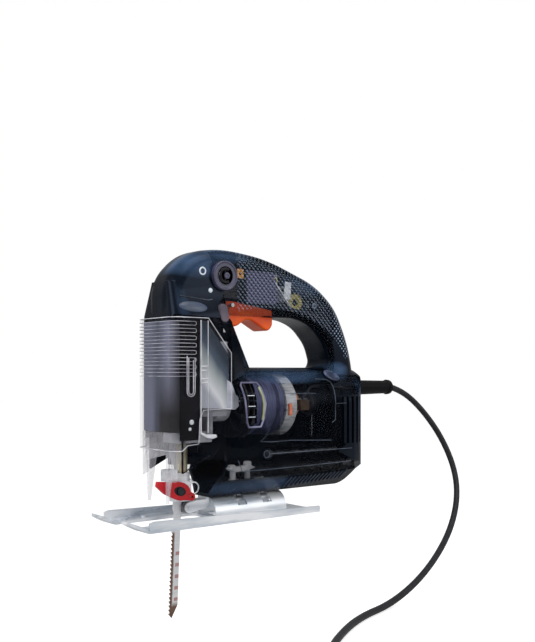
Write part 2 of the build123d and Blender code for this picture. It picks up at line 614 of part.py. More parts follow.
def controls():
    px, pz = TRIGGER_PIVOT
    under = smooth([(36.4, 157), (36.4, 147.2), (47, 143.6), (59, 151.8), (70, 146), (78.6, 141.4),
                    (84, 146), (83.4, 157)])[0]
    over = Polyline((83.4, 157), (81, 158.5), (45, 163.6), (38, 163.6), (36.4, 157))
    trigger = side(make_face([under, over]), (-9, 9))
    rims = [e for e in trigger.edges() if abs(abs(e.center().Y) - 9) < 0.01 and e.center().Z < 152]
    trigger = fillet(rims, 2)
    trigger -= box((47, 80), (-7, 7), (153, 170))
    trigger -= rod_y((-10, 10), px, pz, 1.5 + RUN)
    part("trigger", only(trigger))
    part("trigger_pin", rod_y((-13.8, 13.8), px, pz, 1.5))
    part("trigger_spring", Pos(70, 0, 153.6) * spiral(2.6, 0.4, 9.2, 5))
    switch = box((28, 62), (-8.5, 8.5), (166, 186)) + box((62, 76), (-6, 6), (163.4, 176))
    switch -= box((52, 57), (-9, 9), (184, 187))
    part("trigger_switch", only(switch))
    button = side(lock_outline(0), (-23.2, -12.6))
    part("lock_button", fillet(button.faces().sort_by(Axis.Y)[0].edges(), 1.2))
    dial = rod_y((-19.6, -13.2), *DIAL, DIAL_R) - rod_y((-20, -18.4), *DIAL, DIAL_R - 1.6)
    dial += rod_y((-19.0, -18), *DIAL, 4.6)
    dial -= box((DIAL[0] - 1, DIAL[0] + 1), (-20, -18.2), (DIAL[1] - 7.5, DIAL[1] + 7.5))
    part("speed_dial", only(dial + rod_y((-13.3, -8.7), *DIAL, 3.0)))
    part("brass_terminal", box((46, 52), (-12.4, -8.6), (181.5, 188.5)) - rod_y((-13, -8), 49, 185, 1.2))
    part("speed_module", box((66, 88), (-9, -6.6), (176, 187)) + box((70, 78), (-6.7, -2), (178, 185)))
    part("capacitor", rod_z((166, 178), 95, -4, 4.2))
    part("choke_coil", Pos(109, -5, 166) * Rot(90, 0, 0) * Torus(5.2, 2.2))


def tube(points, r):
    """A round tube along a path of runs and tangent arcs."""
    path, radii = smooth(points)
    shape = sweep(Plane(path @ 0, z_dir=path % 0) * Circle(r), path)
    print(f"tube r={r}: {path.length:.1f} long, radii {[round(x, 1) for x in radii]}, "
          f"volume / (section x length) {shape.volume / (pi * r * r * path.length):.4f}")
    return shape


def leads():
    """The wires from the cord clamp to the switch and from the switch to the brushes."""
    live = tube([(157, -2.6, 99), (157.5, -5, 113), (156, -6, 130), (149, -7, 147), (138, -8, 162),
                 (122, -9, 173.5), (104, -10.6, 178), (90, -10.6, 174), (76, -8.4, 171),
                 (62.6, -7.2, 171)], 1.1)
    neutral = tube([(157, 2.6, 99), (157.5, 5, 113), (156, 6, 130), (149, 7, 147), (138, 8, 162),
                    (120, 8.5, 174), (100, 8.5, 180), (80, 8, 182), (62.6, 6, 180)], 1.1)
    y, z = RIB_HOLE
    motor_lead = tube([(103, -22, 89.3), (111, -19, 94), (121, y, z), (137, y, z), (150, y, z + 1),
                       (155.5, -12, 110), (155.5, -11, 126), (147, -11, 143), (131, -12, 154.5),
                       (113, -12.3, 158), (96, -12, 161), (85, -9, 166), (77, -4.5, 168)], 1.1)
    part("lead_wires", live, neutral, motor_lead)


def hex_key():
    """The key for the shoe's screws, in its channel along the left side of the body."""
    x, y, z = KEY_START
    shape = extrude(Plane.YZ.offset(x) * Pos(y, z) * RegularPolygon(KEY_R, 6), KEY_LENGTH)
    part("hex_key", only(shape + rod_y((y - 1.7, y + 1.7), x + 2, z, 3.2)))


# ---------------------------------------------------------------- cord
def cord():
    guard = rod_x((169.1, 178), 0, CORD_Z, 6.0) + rod_x((163.2, 169.2), 0, CORD_Z, 7.5)
    sleeve_and_bead = [(174, 6.5), (219, 5.7), (221, 6.6), (223.6, 6.3), (CORD_EXIT_X, 4.4)]
    profile = polygon((174, 0), *sleeve_and_bead, (CORD_EXIT_X, 0))
    guard += revolve(Plane.XZ * profile, Axis.X).moved(Location((0, 0, CORD_Z)))
    guard -= rod_x((150, 230), 0, CORD_Z, CORD_R + 0.02)
    part("cord_guard", only(guard))
    part("cord_inside", rod_x((157, CORD_EXIT_X), 0, CORD_Z, CORD_R))
    clamp = box((150, 156.5), (-8, 8), (CORD_Z - 6, CORD_Z + 2))
    part("cord_clamp", clamp - rod_x((140, 170), 0, CORD_Z, CORD_R + RUN))
    route = tube(CORD_ROUTE, CORD_R)
    part("cord_lead", route)
    x, y = COIL_AT
    half = COIL_SIDE / 2
    profile = Pos(COIL_R, FLOOR_Z + half) * RectangleRounded(COIL_SIDE, COIL_SIDE, 5)
    ring = revolve(Plane.XZ * profile, Axis.Z)
    part("cord_coil", ring.moved(Location((x, y, 0))))
    part("cord_tail", rod_x((x + 12, PLUG_X[0]), PLUG_Y, PLUG_Z, CORD_R))
    tie_profile = Pos(COIL_R, FLOOR_Z + half + 0.6) * (
        RectangleRounded(COIL_SIDE + 2.4, COIL_SIDE + 1.2, 5) - Pos(0, -0.55) * RectangleRounded(
            COIL_SIDE + 0.1, COIL_SIDE + 0.2, 5))
    tie = revolve(Plane.XZ * tie_profile, Axis.Z, revolution_arc=12).rotate(Axis.Z, 174)
    part("cord_tie", tie.moved(Location((x, y, 0))))
    plug = plan(rounded_plan_at(PLUG_X, PLUG_Y, 14, 6), (FLOOR_Z, FLOOR_Z + COIL_SIDE))
    pins = []
    for y in (PLUG_Y - 9.3, PLUG_Y + 9.3):
        collar = rod_x((PLUG_X[1] - 6, PLUG_X[1] + 1.5), y, PLUG_Z, 2.6)
        pins.append(collar + rod_x((PLUG_X[1] - 5, PLUG_X[1] + 19), y, PLUG_Z, 2.4))
    part("plug", plug - pins[0] - pins[1])
    part("plug_pins", *pins)


def rounded_plan_at(x, y, half, radius):
    return Pos((x[0] + x[1]) / 2, y) * RectangleRounded(x[1] - x[0], 2 * half, radius)


def main():
    for make in (housing, dust_guard, finger_guard, gear_train, gear_case, plunger_set, blade, blade_clamp,
                 clamp_lever, wire_spring, roller_set, shoe, tilt_clamp, motor, controls, leads, hex_key, cord):
        make()
    os.makedirs("parts", exist_ok=True)
    for name, shape in PARTS.items():
        export_step(shape, f"parts/{name}.step")
    print(len(PARTS), "nodes")


main()
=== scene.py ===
from math import cos, pi, radians, sin, sqrt

import bpy
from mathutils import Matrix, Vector
from mathutils.bvhtree import BVHTree


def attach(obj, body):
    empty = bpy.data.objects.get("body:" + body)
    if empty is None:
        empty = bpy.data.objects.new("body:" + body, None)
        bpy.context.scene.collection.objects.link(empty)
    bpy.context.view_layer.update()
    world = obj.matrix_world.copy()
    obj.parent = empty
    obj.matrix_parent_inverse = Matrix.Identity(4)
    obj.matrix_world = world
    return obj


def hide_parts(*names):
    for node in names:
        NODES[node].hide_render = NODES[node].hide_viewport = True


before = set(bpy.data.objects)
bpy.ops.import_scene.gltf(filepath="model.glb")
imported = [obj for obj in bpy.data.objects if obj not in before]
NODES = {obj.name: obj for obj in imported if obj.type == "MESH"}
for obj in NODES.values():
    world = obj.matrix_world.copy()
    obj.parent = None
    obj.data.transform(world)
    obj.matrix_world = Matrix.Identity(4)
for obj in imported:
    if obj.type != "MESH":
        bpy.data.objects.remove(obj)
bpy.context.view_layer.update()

MM = 0.001


def to_m(*values):
    """Millimetres to metres."""
    return tuple(v * MM for v in values)


# ---------------------------------------------------------------- camera
CAMERA_AT = (-356, -551, 110.7)
CAMERA_YAW = -38.7
LENS, SHIFT_Y = 49.6, 0.078


def place_camera():
    data = bpy.data.cameras.new("camera")
    camera = bpy.data.objects.new("camera", data)
    bpy.context.collection.objects.link(camera)
    camera.location = to_m(*CAMERA_AT)
    camera.rotation_euler = (radians(90), 0, radians(CAMERA_YAW))
    data.lens = LENS
    data.shift_y = SHIFT_Y
    data.clip_start = 0.02
    bpy.context.scene.camera = camera


# ---------------------------------------------------------------- shading
FINISHES = {}


def make_material(name):
    material = bpy.data.materials.new(name)
    material.use_nodes = True
    FINISHES[name] = material
    return material, material.node_tree.nodes["Principled BSDF"]


def connect(material, source, target):
    material.node_tree.links.new(source, target)


def add_node(material, kind, **values):
    node = material.node_tree.nodes.new("ShaderNode" + kind)
    for key, value in values.items():
        if hasattr(node, key):
            setattr(node, key, value)
        else:
            node.inputs[key.replace("_", " ")].default_value = value
    return node


def place(material, stretch=(1, 1, 1)):
    """Object coordinates, stretched."""
    coordinates = add_node(material, "TexCoord")
    mapping = add_node(material, "Mapping", Scale=stretch)
    connect(material, coordinates.outputs["Object"], mapping.inputs["Vector"])
    return mapping.outputs["Vector"]


def axes(material):
    """The object's own X, Y and Z as three outputs."""
    split = add_node(material, "SeparateXYZ")
    connect(material, place(material), split.inputs[0])
    return split.outputs["X"], split.outputs["Y"], split.outputs["Z"]


def noise(material, scale, stretch=(1, 1, 1)):
    node = add_node(material, "TexNoise", Scale=scale, Detail=3.0)
    connect(material, place(material, stretch), node.inputs["Vector"])
    return node.outputs["Fac"]


def calc(material, operation, a, b=0.0, c=0.0):
    """A math node on two or three outputs or numbers."""
    node = add_node(material, "Math", operation=operation)
    for socket, value in zip(node.inputs, (a, b, c)):
        if isinstance(value, bpy.types.NodeSocket):
            connect(material, value, socket)
        else:
            socket.default_value = value
    return node.outputs[0]


def stretch_range(material, value, low, high, to_low=0.0, to_high=1.0):
    node = add_node(material, "MapRange")
    for socket, number in zip(node.inputs[1:5], (low, high, to_low, to_high)):
        socket.default_value = number
    connect(material, value, node.inputs[0])
    return node.outputs[0]


def blend_colours(material, factor, first, second):
    node = add_node(material, "Mix", data_type="RGBA")
    factor_in, a, b = node.inputs[0], node.inputs[6], node.inputs[7]
    connect(material, factor, factor_in)
    for socket, value in ((a, first), (b, second)):
        if isinstance(value, bpy.types.NodeSocket):
            connect(material, value, socket)
        else:
            socket.default_value = (*value, 1)
    return node.outputs[2]


def colour_ramp(material, factor, stops):
    """Colours in order along a factor; each stop is (place, colour) and the first is at 0."""
    node = add_node(material, "ValToRGB")
    connect(material, factor, node.inputs[0])
    ramp = node.color_ramp.elements
    ramp.remove(ramp[1])
    ramp[0].color = (*stops[0][1], 1)
    for at, colour in stops[1:]:
        ramp.new(at).color = (*colour, 1)
    return node.outputs[0]


# the part of a noise's range over which a roughness or a colour goes from one end to the other
ROUGH_SPAN, COLOUR_SPAN = (0.3, 0.7), (0.35, 0.65)


def roughen(material, principled, factor, smooth, rough):
    """Roughness that goes from smooth to rough with a noise."""
    roughness = stretch_range(material, factor, *ROUGH_SPAN, smooth, rough)
    connect(material, roughness, principled.inputs["Roughness"])


def bump(material, principled, height, distance):
    node = add_node(material, "Bump", Strength=1.0, Distance=distance)
    connect(material, height, node.inputs["Height"])
    connect(material, node.outputs["Normal"], principled.inputs["Normal"])


def finish(name, dark, light, rough, scale, depth=0.0, stretch=(1, 1, 1), **fixed):
    """A surface whose colour, roughness and grain wander with a noise of the given scale."""
    material, principled = make_material(name)
    wander = noise(material, scale, stretch=stretch)
    colour = blend_colours(material, stretch_range(material, wander, *COLOUR_SPAN), dark, light)
    connect(material, colour, principled.inputs["Base Color"])
    roughen(material, principled, wander, *rough)
    if depth:
        bump(material, principled, noise(material, scale * 2.5, stretch=stretch), depth)
    for key, value in fixed.items():
        principled.inputs[key.replace("_", " ")].default_value = value


GRIP_PITCH = 2.9 * MM
# centre X, centre Z, half width, half height: the grip lies outside this ellipse round the hand's opening
GRIP_INSIDE = (75, 112, 80, 47)
GRIP_START_X, GRIP_START_Z = 44, 122
# centre X, centre Z, half width, half height, strength: where a navy reflection of the lamps is painted into
# the shell's colour
PAINTED_REFLECTIONS = (
    (4, 190, 30, 12, 1.0), (34, 198, 30, 7, 0.9), (88, 107, 52, 7, 0.8), (146, 111, 13, 8, 0.8),
    (60, 23, 70, 6, 0.6), (163, 84, 4.5, 24, 0.5), (-8, 160, 6, 14, 0.3), (52, 128, 5, 16, 0.35),
    (118, 180, 34, 10, 0.5),
)


def reach_from(material, x, z, centre_x, centre_z, half_x, half_z):
    """The square of the distance from an ellipse's centre; it is 1 on the ellipse."""
    across = calc(material, "DIVIDE", calc(material, "SUBTRACT", x, centre_x * MM), half_x * MM)
    up = calc(material, "DIVIDE", calc(material, "SUBTRACT", z, centre_z * MM), half_z * MM)
    across_squared = calc(material, "MULTIPLY", across, across)
    up_squared = calc(material, "MULTIPLY", up, up)
    return calc(material, "ADD", across_squared, up_squared)


def crossed_waves(material, first, second):
    """Studs where the crests of two slanting waves cross."""
    waves = [calc(material, "SINE", calc(material, "MULTIPLY", along, 2 * pi / GRIP_PITCH / sqrt(2)))
             for along in (first, second)]
    return calc(material, "MINIMUM", *waves)


def set_values(principled, values):
    for key, value in values.items():
        principled.inputs[key].default_value = value


def smoked_shell(name, alpha, smooth, worn, stud, painted_reflection):
    """Dark see-through plastic with navy patches of painted reflection; on the handle's sides a fine
    cross-hatched grip is moulded in.
    """
    material, principled = make_material(name)
    x, y, z = axes(material)
    rising = calc(material, "ADD", calc(material, "ADD", x, z), y)
    studs = crossed_waves(material, rising, calc(material, "SUBTRACT", x, z))
    outside = stretch_range(material, reach_from(material, x, z, *GRIP_INSIDE), 1.0, 1.04)
    right_of_dial = stretch_range(material, x, (GRIP_START_X - 1) * MM, (GRIP_START_X + 1) * MM)
    above = stretch_range(material, z, (GRIP_START_Z - 1) * MM, (GRIP_START_Z + 1) * MM)
    grip = calc(material, "MULTIPLY", calc(material, "MULTIPLY", outside, right_of_dial), above)
    pattern = calc(material, "MULTIPLY", stretch_range(material, studs, 0.05, 0.45), grip)
    cloudy = blend_colours(material, noise(material, 30.0), smooth, worn)
    # painted reflection: inside each ellipse a navy reflection of the lamps is painted into the colour,
    # broken into streaks
    painted_reflection_share = 0.0
    for *ellipse, strength in PAINTED_REFLECTIONS:
        reach = reach_from(material, x, z, *ellipse)
        painted_reflection_share = calc(material, "MAXIMUM", painted_reflection_share, stretch_range(material, reach, 0.1, 1.0, strength, 0.0))
    reflection_streaks = stretch_range(material, noise(material, 45.0, stretch=(0.5, 1, 1)), 0.3, 0.6, 0.35, 1.0)
    cloudy = blend_colours(material, calc(material, "MULTIPLY", painted_reflection_share, reflection_streaks), cloudy, painted_reflection)
    # the studs' light colour is a painted highlight on the grip's crests; the studs themselves are a real
    # moulded pattern and bump
    colour = blend_colours(material, pattern, cloudy, stud)
    connect(material, colour, principled.inputs["Base Color"])
    roughen(material, principled, noise(material, 55.0), 0.22, 0.32)
    bump(material, principled, pattern, 0.1 * MM)
    set_values(principled, {"Alpha": alpha, "Specular IOR Level": 0.18, "IOR": 1.45,
                            "Specular Tint": (0.55, 0.7, 1.0, 1)})


BLADE_TIP = -70.6 * MM
PAINT_TOP = -8 * MM
BLADE_LEAN = 0.0454
BAND_PITCH, BAND_WIDTH = 4.2 * MM, 1.3 * MM
BANDS_FROM, BANDS_TO = -60 * MM, -20 * MM
FADE = 2 * MM


def blade_paint():
    """A pale ground body with brown teeth and point, and plain red-brown bands instead of print."""
    material, principled = make_material("blade_paint")
    x, _, z = axes(material)
    lean = calc(material, "MULTIPLY_ADD", z, -BLADE_LEAN, x)
    wobble = calc(material, "MULTIPLY_ADD", noise(material, 400.0), 0.8 * MM, -0.4 * MM)
    front = calc(material, "ADD", lean, wobble)
    teeth = stretch_range(material, front, -2.6 * MM, -1.6 * MM, 1.0, 0.0)
    point = stretch_range(material, z, BLADE_TIP + 4 * FADE, BLADE_TIP + 6 * FADE, 1.0, 0.0)
    ragged = calc(material, "MAXIMUM", teeth, point)
    below = stretch_range(material, z, PAINT_TOP - FADE / 2, PAINT_TOP + FADE / 2, 1.0, 0.0)
    brown = calc(material, "MULTIPLY", ragged, below)
    rows = calc(material, "PINGPONG", calc(material, "ADD", z, 0.2), BAND_PITCH)
    bands = calc(material, "MULTIPLY", calc(material, "LESS_THAN", rows, BAND_WIDTH),
                 calc(material, "GREATER_THAN", lean, -0.6 * MM))
    top = stretch_range(material, z, BANDS_TO - FADE, BANDS_TO, 1.0, 0.0)
    bands = calc(material, "MULTIPLY", bands, top)
    bands = calc(material, "MULTIPLY", bands, stretch_range(material, z, BANDS_FROM, BANDS_FROM + FADE))
    ground = noise(material, 90.0, stretch=(1, 1, 6))
    steel = blend_colours(material, ground, (0.62, 0.63, 0.66), (0.85, 0.85, 0.86))
    printed = blend_colours(material, calc(material, "MULTIPLY", bands, 0.8), steel, (0.42, 0.16, 0.13))
    colour = blend_colours(material, brown, printed, (0.16, 0.09, 0.06))
    connect(material, colour, principled.inputs["Base Color"])
    roughen(material, principled, noise(material, 200.0), 0.3, 0.45)
    set_values(principled, {"Metallic": 0.35})


def graded_silver():
    """Bright cast metal seen through the nose's side, with a painted highlight low down and painted shade
    falling off into dark teal towards its top.
    """
    material, principled = make_material("graded_silver")
    x, _, z = axes(material)
    wander = calc(material, "MULTIPLY_ADD", noise(material, 60.0, stretch=(1, 1, 0.3)), 14 * MM, -7 * MM)
    height = calc(material, "ADD", z, wander)
    height = calc(material, "MULTIPLY_ADD", calc(material, "SUBTRACT", x, 19 * MM), 1.2, height)
    # colours up the side: a painted highlight near the bottom, then painted shade darkening towards the top
    stops = ((0.0, (0.5, 0.52, 0.6)), (0.12, (0.86, 0.88, 0.92)), (0.36, (0.4, 0.45, 0.47)),
             (0.52, (0.07, 0.1, 0.15)), (0.7, (0.015, 0.03, 0.055)), (1.0, (0.005, 0.012, 0.02)))
    colour = colour_ramp(material, stretch_range(material, height, 84 * MM, 148 * MM), stops)
    connect(material, colour, principled.inputs["Base Color"])
    roughen(material, principled, noise(material, 80.0), 0.35, 0.5)
    set_values(principled, {"Metallic": 0.3})


def nose_sheen():
    """The nose's front: a lavender painted reflection on its right side and near its left corner, black
    painted shade low on the left.
    """
    material, principled = make_material("nose_sheen")
    _, y, z = axes(material)
    wander = calc(material, "MULTIPLY_ADD", noise(material, 50.0, stretch=(1, 1, 0.15)), 8 * MM, -4 * MM)
    across = calc(material, "ADD", y, wander)
    stops = ((0.0, (0.05, 0.055, 0.08)), (0.14, (0.3, 0.31, 0.43)), (0.3, (0.2, 0.21, 0.31)),
             (0.48, (0.11, 0.125, 0.18)), (0.66, (0.2, 0.21, 0.3)), (1.0, (0.22, 0.23, 0.32)))
    painted_reflection = colour_ramp(material, stretch_range(material, across, -22 * MM, 22 * MM), stops)
    # painted shade: the front is darkened to near black low on its left side
    low = stretch_range(material, z, 80 * MM, 118 * MM, 1.0, 0.0)
    left = stretch_range(material, across, -6 * MM, 3 * MM, 1.0, 0.0)
    colour = blend_colours(material, calc(material, "MULTIPLY", low, left), painted_reflection, (0.006, 0.006, 0.009))
    connect(material, colour, principled.inputs["Base Color"])
    roughen(material, principled, noise(material, 80.0), 0.35, 0.5)


def lilac_weave():
    """Lilac moulding with fine dark dots in slanting rows."""
    material, principled = make_material("lilac_weave")
    x, _, z = axes(material)
    studs = crossed_waves(material, calc(material, "ADD", x, z), calc(material, "SUBTRACT", x, z))
    dots = stretch_range(material, studs, -0.1, 0.3)
    cloudy = blend_colours(material, noise(material, 40.0), (0.06, 0.06, 0.14), (0.18, 0.17, 0.33))
    colour = blend_colours(material, dots, cloudy, (0.015, 0.015, 0.04))
    connect(material, colour, principled.inputs["Base Color"])
    bump(material, principled, dots, -0.1 * MM)
    set_values(principled, {"Roughness": 0.5})


def make_finishes():
    """Makes every finish; each keeps itself in FINISHES under its name."""
    steel_light, steel_dark = (0.83, 0.85, 0.88), (0.6, 0.62, 0.66)
    # the last two colours of each shell are painted light: the grip studs' painted highlight, then the navy
    # painted reflection
    smoked_shell("shell_left", 0.22, (0.0005, 0.001, 0.002), (0.002, 0.004, 0.008), (0.55, 0.68, 0.9),
                 (0.12, 0.22, 0.42))
    smoked_shell("shell_right", 0.96, (0.0008, 0.0014, 0.003), (0.003, 0.005, 0.01), (0.2, 0.24, 0.32),
                 (0.02, 0.035, 0.06))
    smoked_shell("shell_rim", 1.0, (0.0006, 0.001, 0.002), (0.004, 0.007, 0.014), (0.3, 0.38, 0.52),
                 (0.045, 0.09, 0.18))
    finish("clear_guard", (0.015, 0.015, 0.02), (0.06, 0.06, 0.08), (0.1, 0.2), 40.0, Alpha=0.09, IOR=1.3,
           Specular_IOR_Level=0.2)
    finish("frosted_guard", (0.6, 0.6, 0.66), (0.85, 0.85, 0.9), (0.2, 0.35), 60.0, depth=0.05 * MM,
           Alpha=0.28, IOR=1.4)
    finish("edge_grey", (0.3, 0.3, 0.36), (0.6, 0.6, 0.66), (0.2, 0.35), 90.0)
    finish("edge_light", (0.5, 0.5, 0.56), (0.85, 0.85, 0.9), (0.2, 0.35), 90.0)
    finish("bright_steel", steel_dark, steel_light, (0.28, 0.42), 60.0, depth=0.02 * MM,
           stretch=(0.4, 4, 4), Metallic=0.55)
    finish("shoe_steel", (0.5, 0.56, 0.64), (0.9, 0.92, 0.95), (0.25, 0.4), 42.0, depth=0.02 * MM,
           stretch=(0.5, 2, 3), Metallic=0.45)
    finish("foil", (0.5, 0.54, 0.6), (0.95, 0.96, 0.98), (0.25, 0.4), 160.0, depth=0.05 * MM,
           stretch=(0.6, 1, 3), Metallic=0.3)
    finish("dark_steel", (0.1, 0.1, 0.11), (0.28, 0.28, 0.3), (0.3, 0.45), 120.0, depth=0.02 * MM,
           Metallic=0.9)
    finish("black_oxide", (0.006, 0.007, 0.01), (0.03, 0.035, 0.045), (0.22, 0.35), 200.0,
           depth=0.02 * MM, Metallic=0.5)
    finish("plunger_steel", (0.3, 0.27, 0.18), (0.66, 0.6, 0.42), (0.18, 0.3), 50.0, stretch=(3, 3, 0.1),
           Metallic=0.6)
    finish("cast_alloy", (0.55, 0.57, 0.66), (0.86, 0.87, 0.95), (0.35, 0.55), 90.0, depth=0.1 * MM,
           Metallic=0.2)
    finish("brass", (0.55, 0.22, 0.02), (0.8, 0.42, 0.06), (0.25, 0.4), 150.0, Metallic=0.3)
    finish("copper", (0.62, 0.26, 0.16), (0.95, 0.5, 0.34), (0.25, 0.4), 400.0, depth=0.2 * MM,
           stretch=(3, 0.4, 0.4), Metallic=0.6)
    finish("silver_winding", (0.6, 0.6, 0.64), (0.9, 0.9, 0.95), (0.3, 0.4), 420.0, depth=0.2 * MM,
           stretch=(3, 0.4, 0.4), Metallic=0.4)
    finish("lilac_stack", (0.08, 0.085, 0.19), (0.2, 0.22, 0.42), (0.4, 0.55), 300.0, depth=0.05 * MM,
           stretch=(6, 0.3, 0.3), Metallic=0.3)
    finish("olive", (0.34, 0.36, 0.2), (0.5, 0.52, 0.34), (0.35, 0.5), 80.0)
    finish("red_lever", (0.42, 0.002, 0.008), (0.62, 0.006, 0.014), (0.25, 0.38), 90.0, depth=0.03 * MM,
           Specular_IOR_Level=0.4)
    finish("orange_trigger", (0.78, 0.07, 0.004), (0.93, 0.12, 0.008), (0.35, 0.48), 70.0,
           depth=0.02 * MM, Specular_IOR_Level=0.3)
    finish("indigo_plastic", (0.03, 0.03, 0.065), (0.065, 0.065, 0.12), (0.3, 0.42), 110.0,
           depth=0.03 * MM)
    finish("mauve_plastic", (0.075, 0.06, 0.085), (0.13, 0.105, 0.14), (0.35, 0.5), 110.0,
           depth=0.03 * MM, Specular_IOR_Level=0.3)
    lilac_weave()
    finish("lilac_frame", (0.08, 0.08, 0.16), (0.3, 0.3, 0.45), (0.3, 0.45), 60.0)
    graded_silver()
    nose_sheen()
    finish("boss_silver", (0.3, 0.32, 0.42), (0.85, 0.87, 0.98), (0.35, 0.5), 55.0)
    finish("bridge_silver", (0.75, 0.8, 0.88), (1.0, 1.0, 1.0), (0.3, 0.45), 160.0)
    finish("copper_glow", (0.32, 0.08, 0.04), (0.72, 0.22, 0.12), (0.35, 0.5), 150.0)
    finish("dull_brass", (0.05, 0.025, 0.01), (0.12, 0.06, 0.025), (0.3, 0.5), 150.0)
    finish("deep_black", (0.001, 0.001, 0.0015), (0.004, 0.004, 0.006), (0.4, 0.6), 60.0,
           Specular_IOR_Level=0.1)
    finish("grey_plastic", (0.42, 0.42, 0.5), (0.62, 0.62, 0.7), (0.35, 0.5), 130.0, depth=0.04 * MM)
    finish("white_plastic", (0.62, 0.68, 0.78), (0.85, 0.9, 0.95), (0.3, 0.4), 100.0)
    finish("blue_grey", (0.03, 0.045, 0.075), (0.1, 0.13, 0.19), (0.3, 0.45), 90.0)
    finish("navy_edge", (0.008, 0.013, 0.024), (0.035, 0.05, 0.08), (0.25, 0.4), 70.0)
    finish("navy_sheen", (0.02, 0.03, 0.07), (0.1, 0.13, 0.27), (0.3, 0.45), 45.0)
    finish("navy_cloud", (0.01, 0.016, 0.03), (0.07, 0.1, 0.17), (0.3, 0.45), 45.0)
    finish("black_gloss", (0.002, 0.002, 0.004), (0.008, 0.008, 0.012), (0.18, 0.3), 90.0,
           Specular_IOR_Level=0.3)
    finish("black_plastic", (0.006, 0.006, 0.01), (0.02, 0.02, 0.03), (0.4, 0.6), 150.0, depth=0.05 * MM)
    finish("rubber", (0.004, 0.004, 0.006), (0.014, 0.015, 0.02), (0.4, 0.58), 220.0, depth=0.06 * MM,
           Specular_IOR_Level=0.3)
    finish("yellow_wire", (0.6, 0.5, 0.12), (0.9, 0.82, 0.34), (0.35, 0.5), 320.0, depth=0.2 * MM,
           stretch=(3, 1, 3))
    blade_paint()


LOOKS = {
    "shell_left": ["housing_left"],
    "shell_right": ["housing_right"],
    "clear_guard": ["dust_guard"],
    "frosted_guard": ["finger_guard"],
    "shoe_steel": ["shoe", "tilt_saddle"],
    "bright_steel": ["tilt_plate", "tilt_washers", "roller_bracket", "roller_pin",
                     "blade_clamp", "wire_spring", "gear_axle", "crank_pin", "gear_case_screws",
                     "trigger_pin", "trigger_spring", "brush_springs", "plug_pins", "armature_shaft"],
    "dark_steel": ["housing_screws", "tilt_screws", "armature_core", "yoke", "blade_roller",
                   "motor_bearings"],
    "black_oxide": ["hex_key", "clamp_pin"],
    "plunger_steel": ["plunger", "plunger_bushes"],
    "cast_alloy": ["gear_case", "drive_gear"],
    "brass": ["brass_terminal"],
    "dull_brass": ["brush_holders"],
    "copper": ["armature_windings", "commutator"],
    "silver_winding": ["field_coils"],
    "lilac_stack": ["field_stack"],
    "red_lever": ["clamp_lever"],
    "orange_trigger": ["trigger"],
    "indigo_plastic": ["speed_dial"],
    "mauve_plastic": ["lock_button"],
    "grey_plastic": ["capacitor", "speed_module"],
    "black_plastic": ["fan_baffle", "fan", "cord_clamp", "cord_tie", "trigger_switch", "lead_wires",
                      "carbon_brushes"],
    "deep_black": ["cord_guard"],
    "rubber": ["cord_inside", "plug"],
    "yellow_wire": ["choke_coil"],
    "blade_paint": ["blade"],
}


def dress():
    """Gives the frame's own pieces their finishes."""
    for look, nodes in LOOKS.items():
        for name in nodes:
            mesh = NODES[name].data
            mesh.materials.clear()
            mesh.materials.append(FINISHES[look])


# ---------------------------------------------------------------- cord
CORD_R = 2.6
EXIT = (226, 0, 96.5)
CORD_ROUTE = [
    EXIT, (241, -1, 93), (262, -6, 76), (279, -15, 50), (284, -27, 20), (270, -41, -6),
    (240, -55, -32), (192, -71, -54), (146, -79, -68.4), (97, -91, -68.4), (48, -119, -68.4),
    (14, -147, -68.4), (-5.5, -163.5, -68.4),
]
COIL_AT = (-5, -200, -62.5)
COIL_R = 26
COIL_STEP = 5.6
# column and row of each turn in the coil's section
COIL_TURNS = [(1, -1), (0, -1), (-1, -1), (-1, 0), (0, 0), (-1, 1), (0, 1), (1, 1), (1, 0)]
# degrees round the coil at its two ends, and the share of a turn after which it eases into the next
COIL_START, COIL_END = 115, 262
EASE_FROM = 0.7
POINTS_PER_TURN = 18
TAIL = [(10, -231.6, -62.5), (24, -231.6, -62.5), (34, -231.6, -62.5)]


def coil_points():
    """Three by three turns side by side, each easing into the next over its last part."""
    points = []
    sweep = 360 * (len(COIL_TURNS) - 1) + COIL_END - COIL_START
    count = int(sweep / 360 * POINTS_PER_TURN) + POINTS_PER_TURN
    for k in range(count + 1):
        turn = sweep * k / count / 360
        angle = radians(COIL_START + 360 * turn)
        index = min(int(turn), len(COIL_TURNS) - 1)
        following = min(index + 1, len(COIL_TURNS) - 1)
        ease = max(0.0, (turn - index - EASE_FROM) / (1 - EASE_FROM))
        ease = ease * ease * (3 - 2 * ease)
        column, row = (now * (1 - ease) + then * ease
                       for now, then in zip(COIL_TURNS[index], COIL_TURNS[following]))
        radius = COIL_R + COIL_STEP * column
        points.append((COIL_AT[0] + radius * cos(angle), COIL_AT[1] + radius * sin(angle),
                       COIL_AT[2] + COIL_STEP * row))
    return points


def lay_cord():
    """The mains cord as one curve, from its guard through the coil to the plug."""
    curve = bpy.data.curves.new("mains_cord", "CURVE")
    curve.dimensions = "3D"
    spline = curve.splines.new("NURBS")
    points = CORD_ROUTE + coil_points() + TAIL
    spline.points.add(len(points) - 1)
    for point, at in zip(spline.points, points):
        point.co = (*to_m(*at), 1)
    spline.order_u = 3
    spline.use_endpoint_u = True
    spline.resolution_u = 6
    curve.bevel_depth = CORD_R * MM
    curve.bevel_resolution = 5
    curve.use_fill_caps = True
    cord = bpy.data.objects.new("mains_cord", curve)
    bpy.context.collection.objects.link(cord)
    curve.materials.append(FINISHES["rubber"])
    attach(cord, "housing")
    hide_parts("cord_lead", "cord_coil", "cord_tail")


# ---------------------------------------------------------------- modelling helpers
def deselect():
    if bpy.context.object and bpy.context.object.mode != "OBJECT":
        bpy.ops.object.mode_set(mode="OBJECT")
    bpy.ops.object.select_all(action="DESELECT")


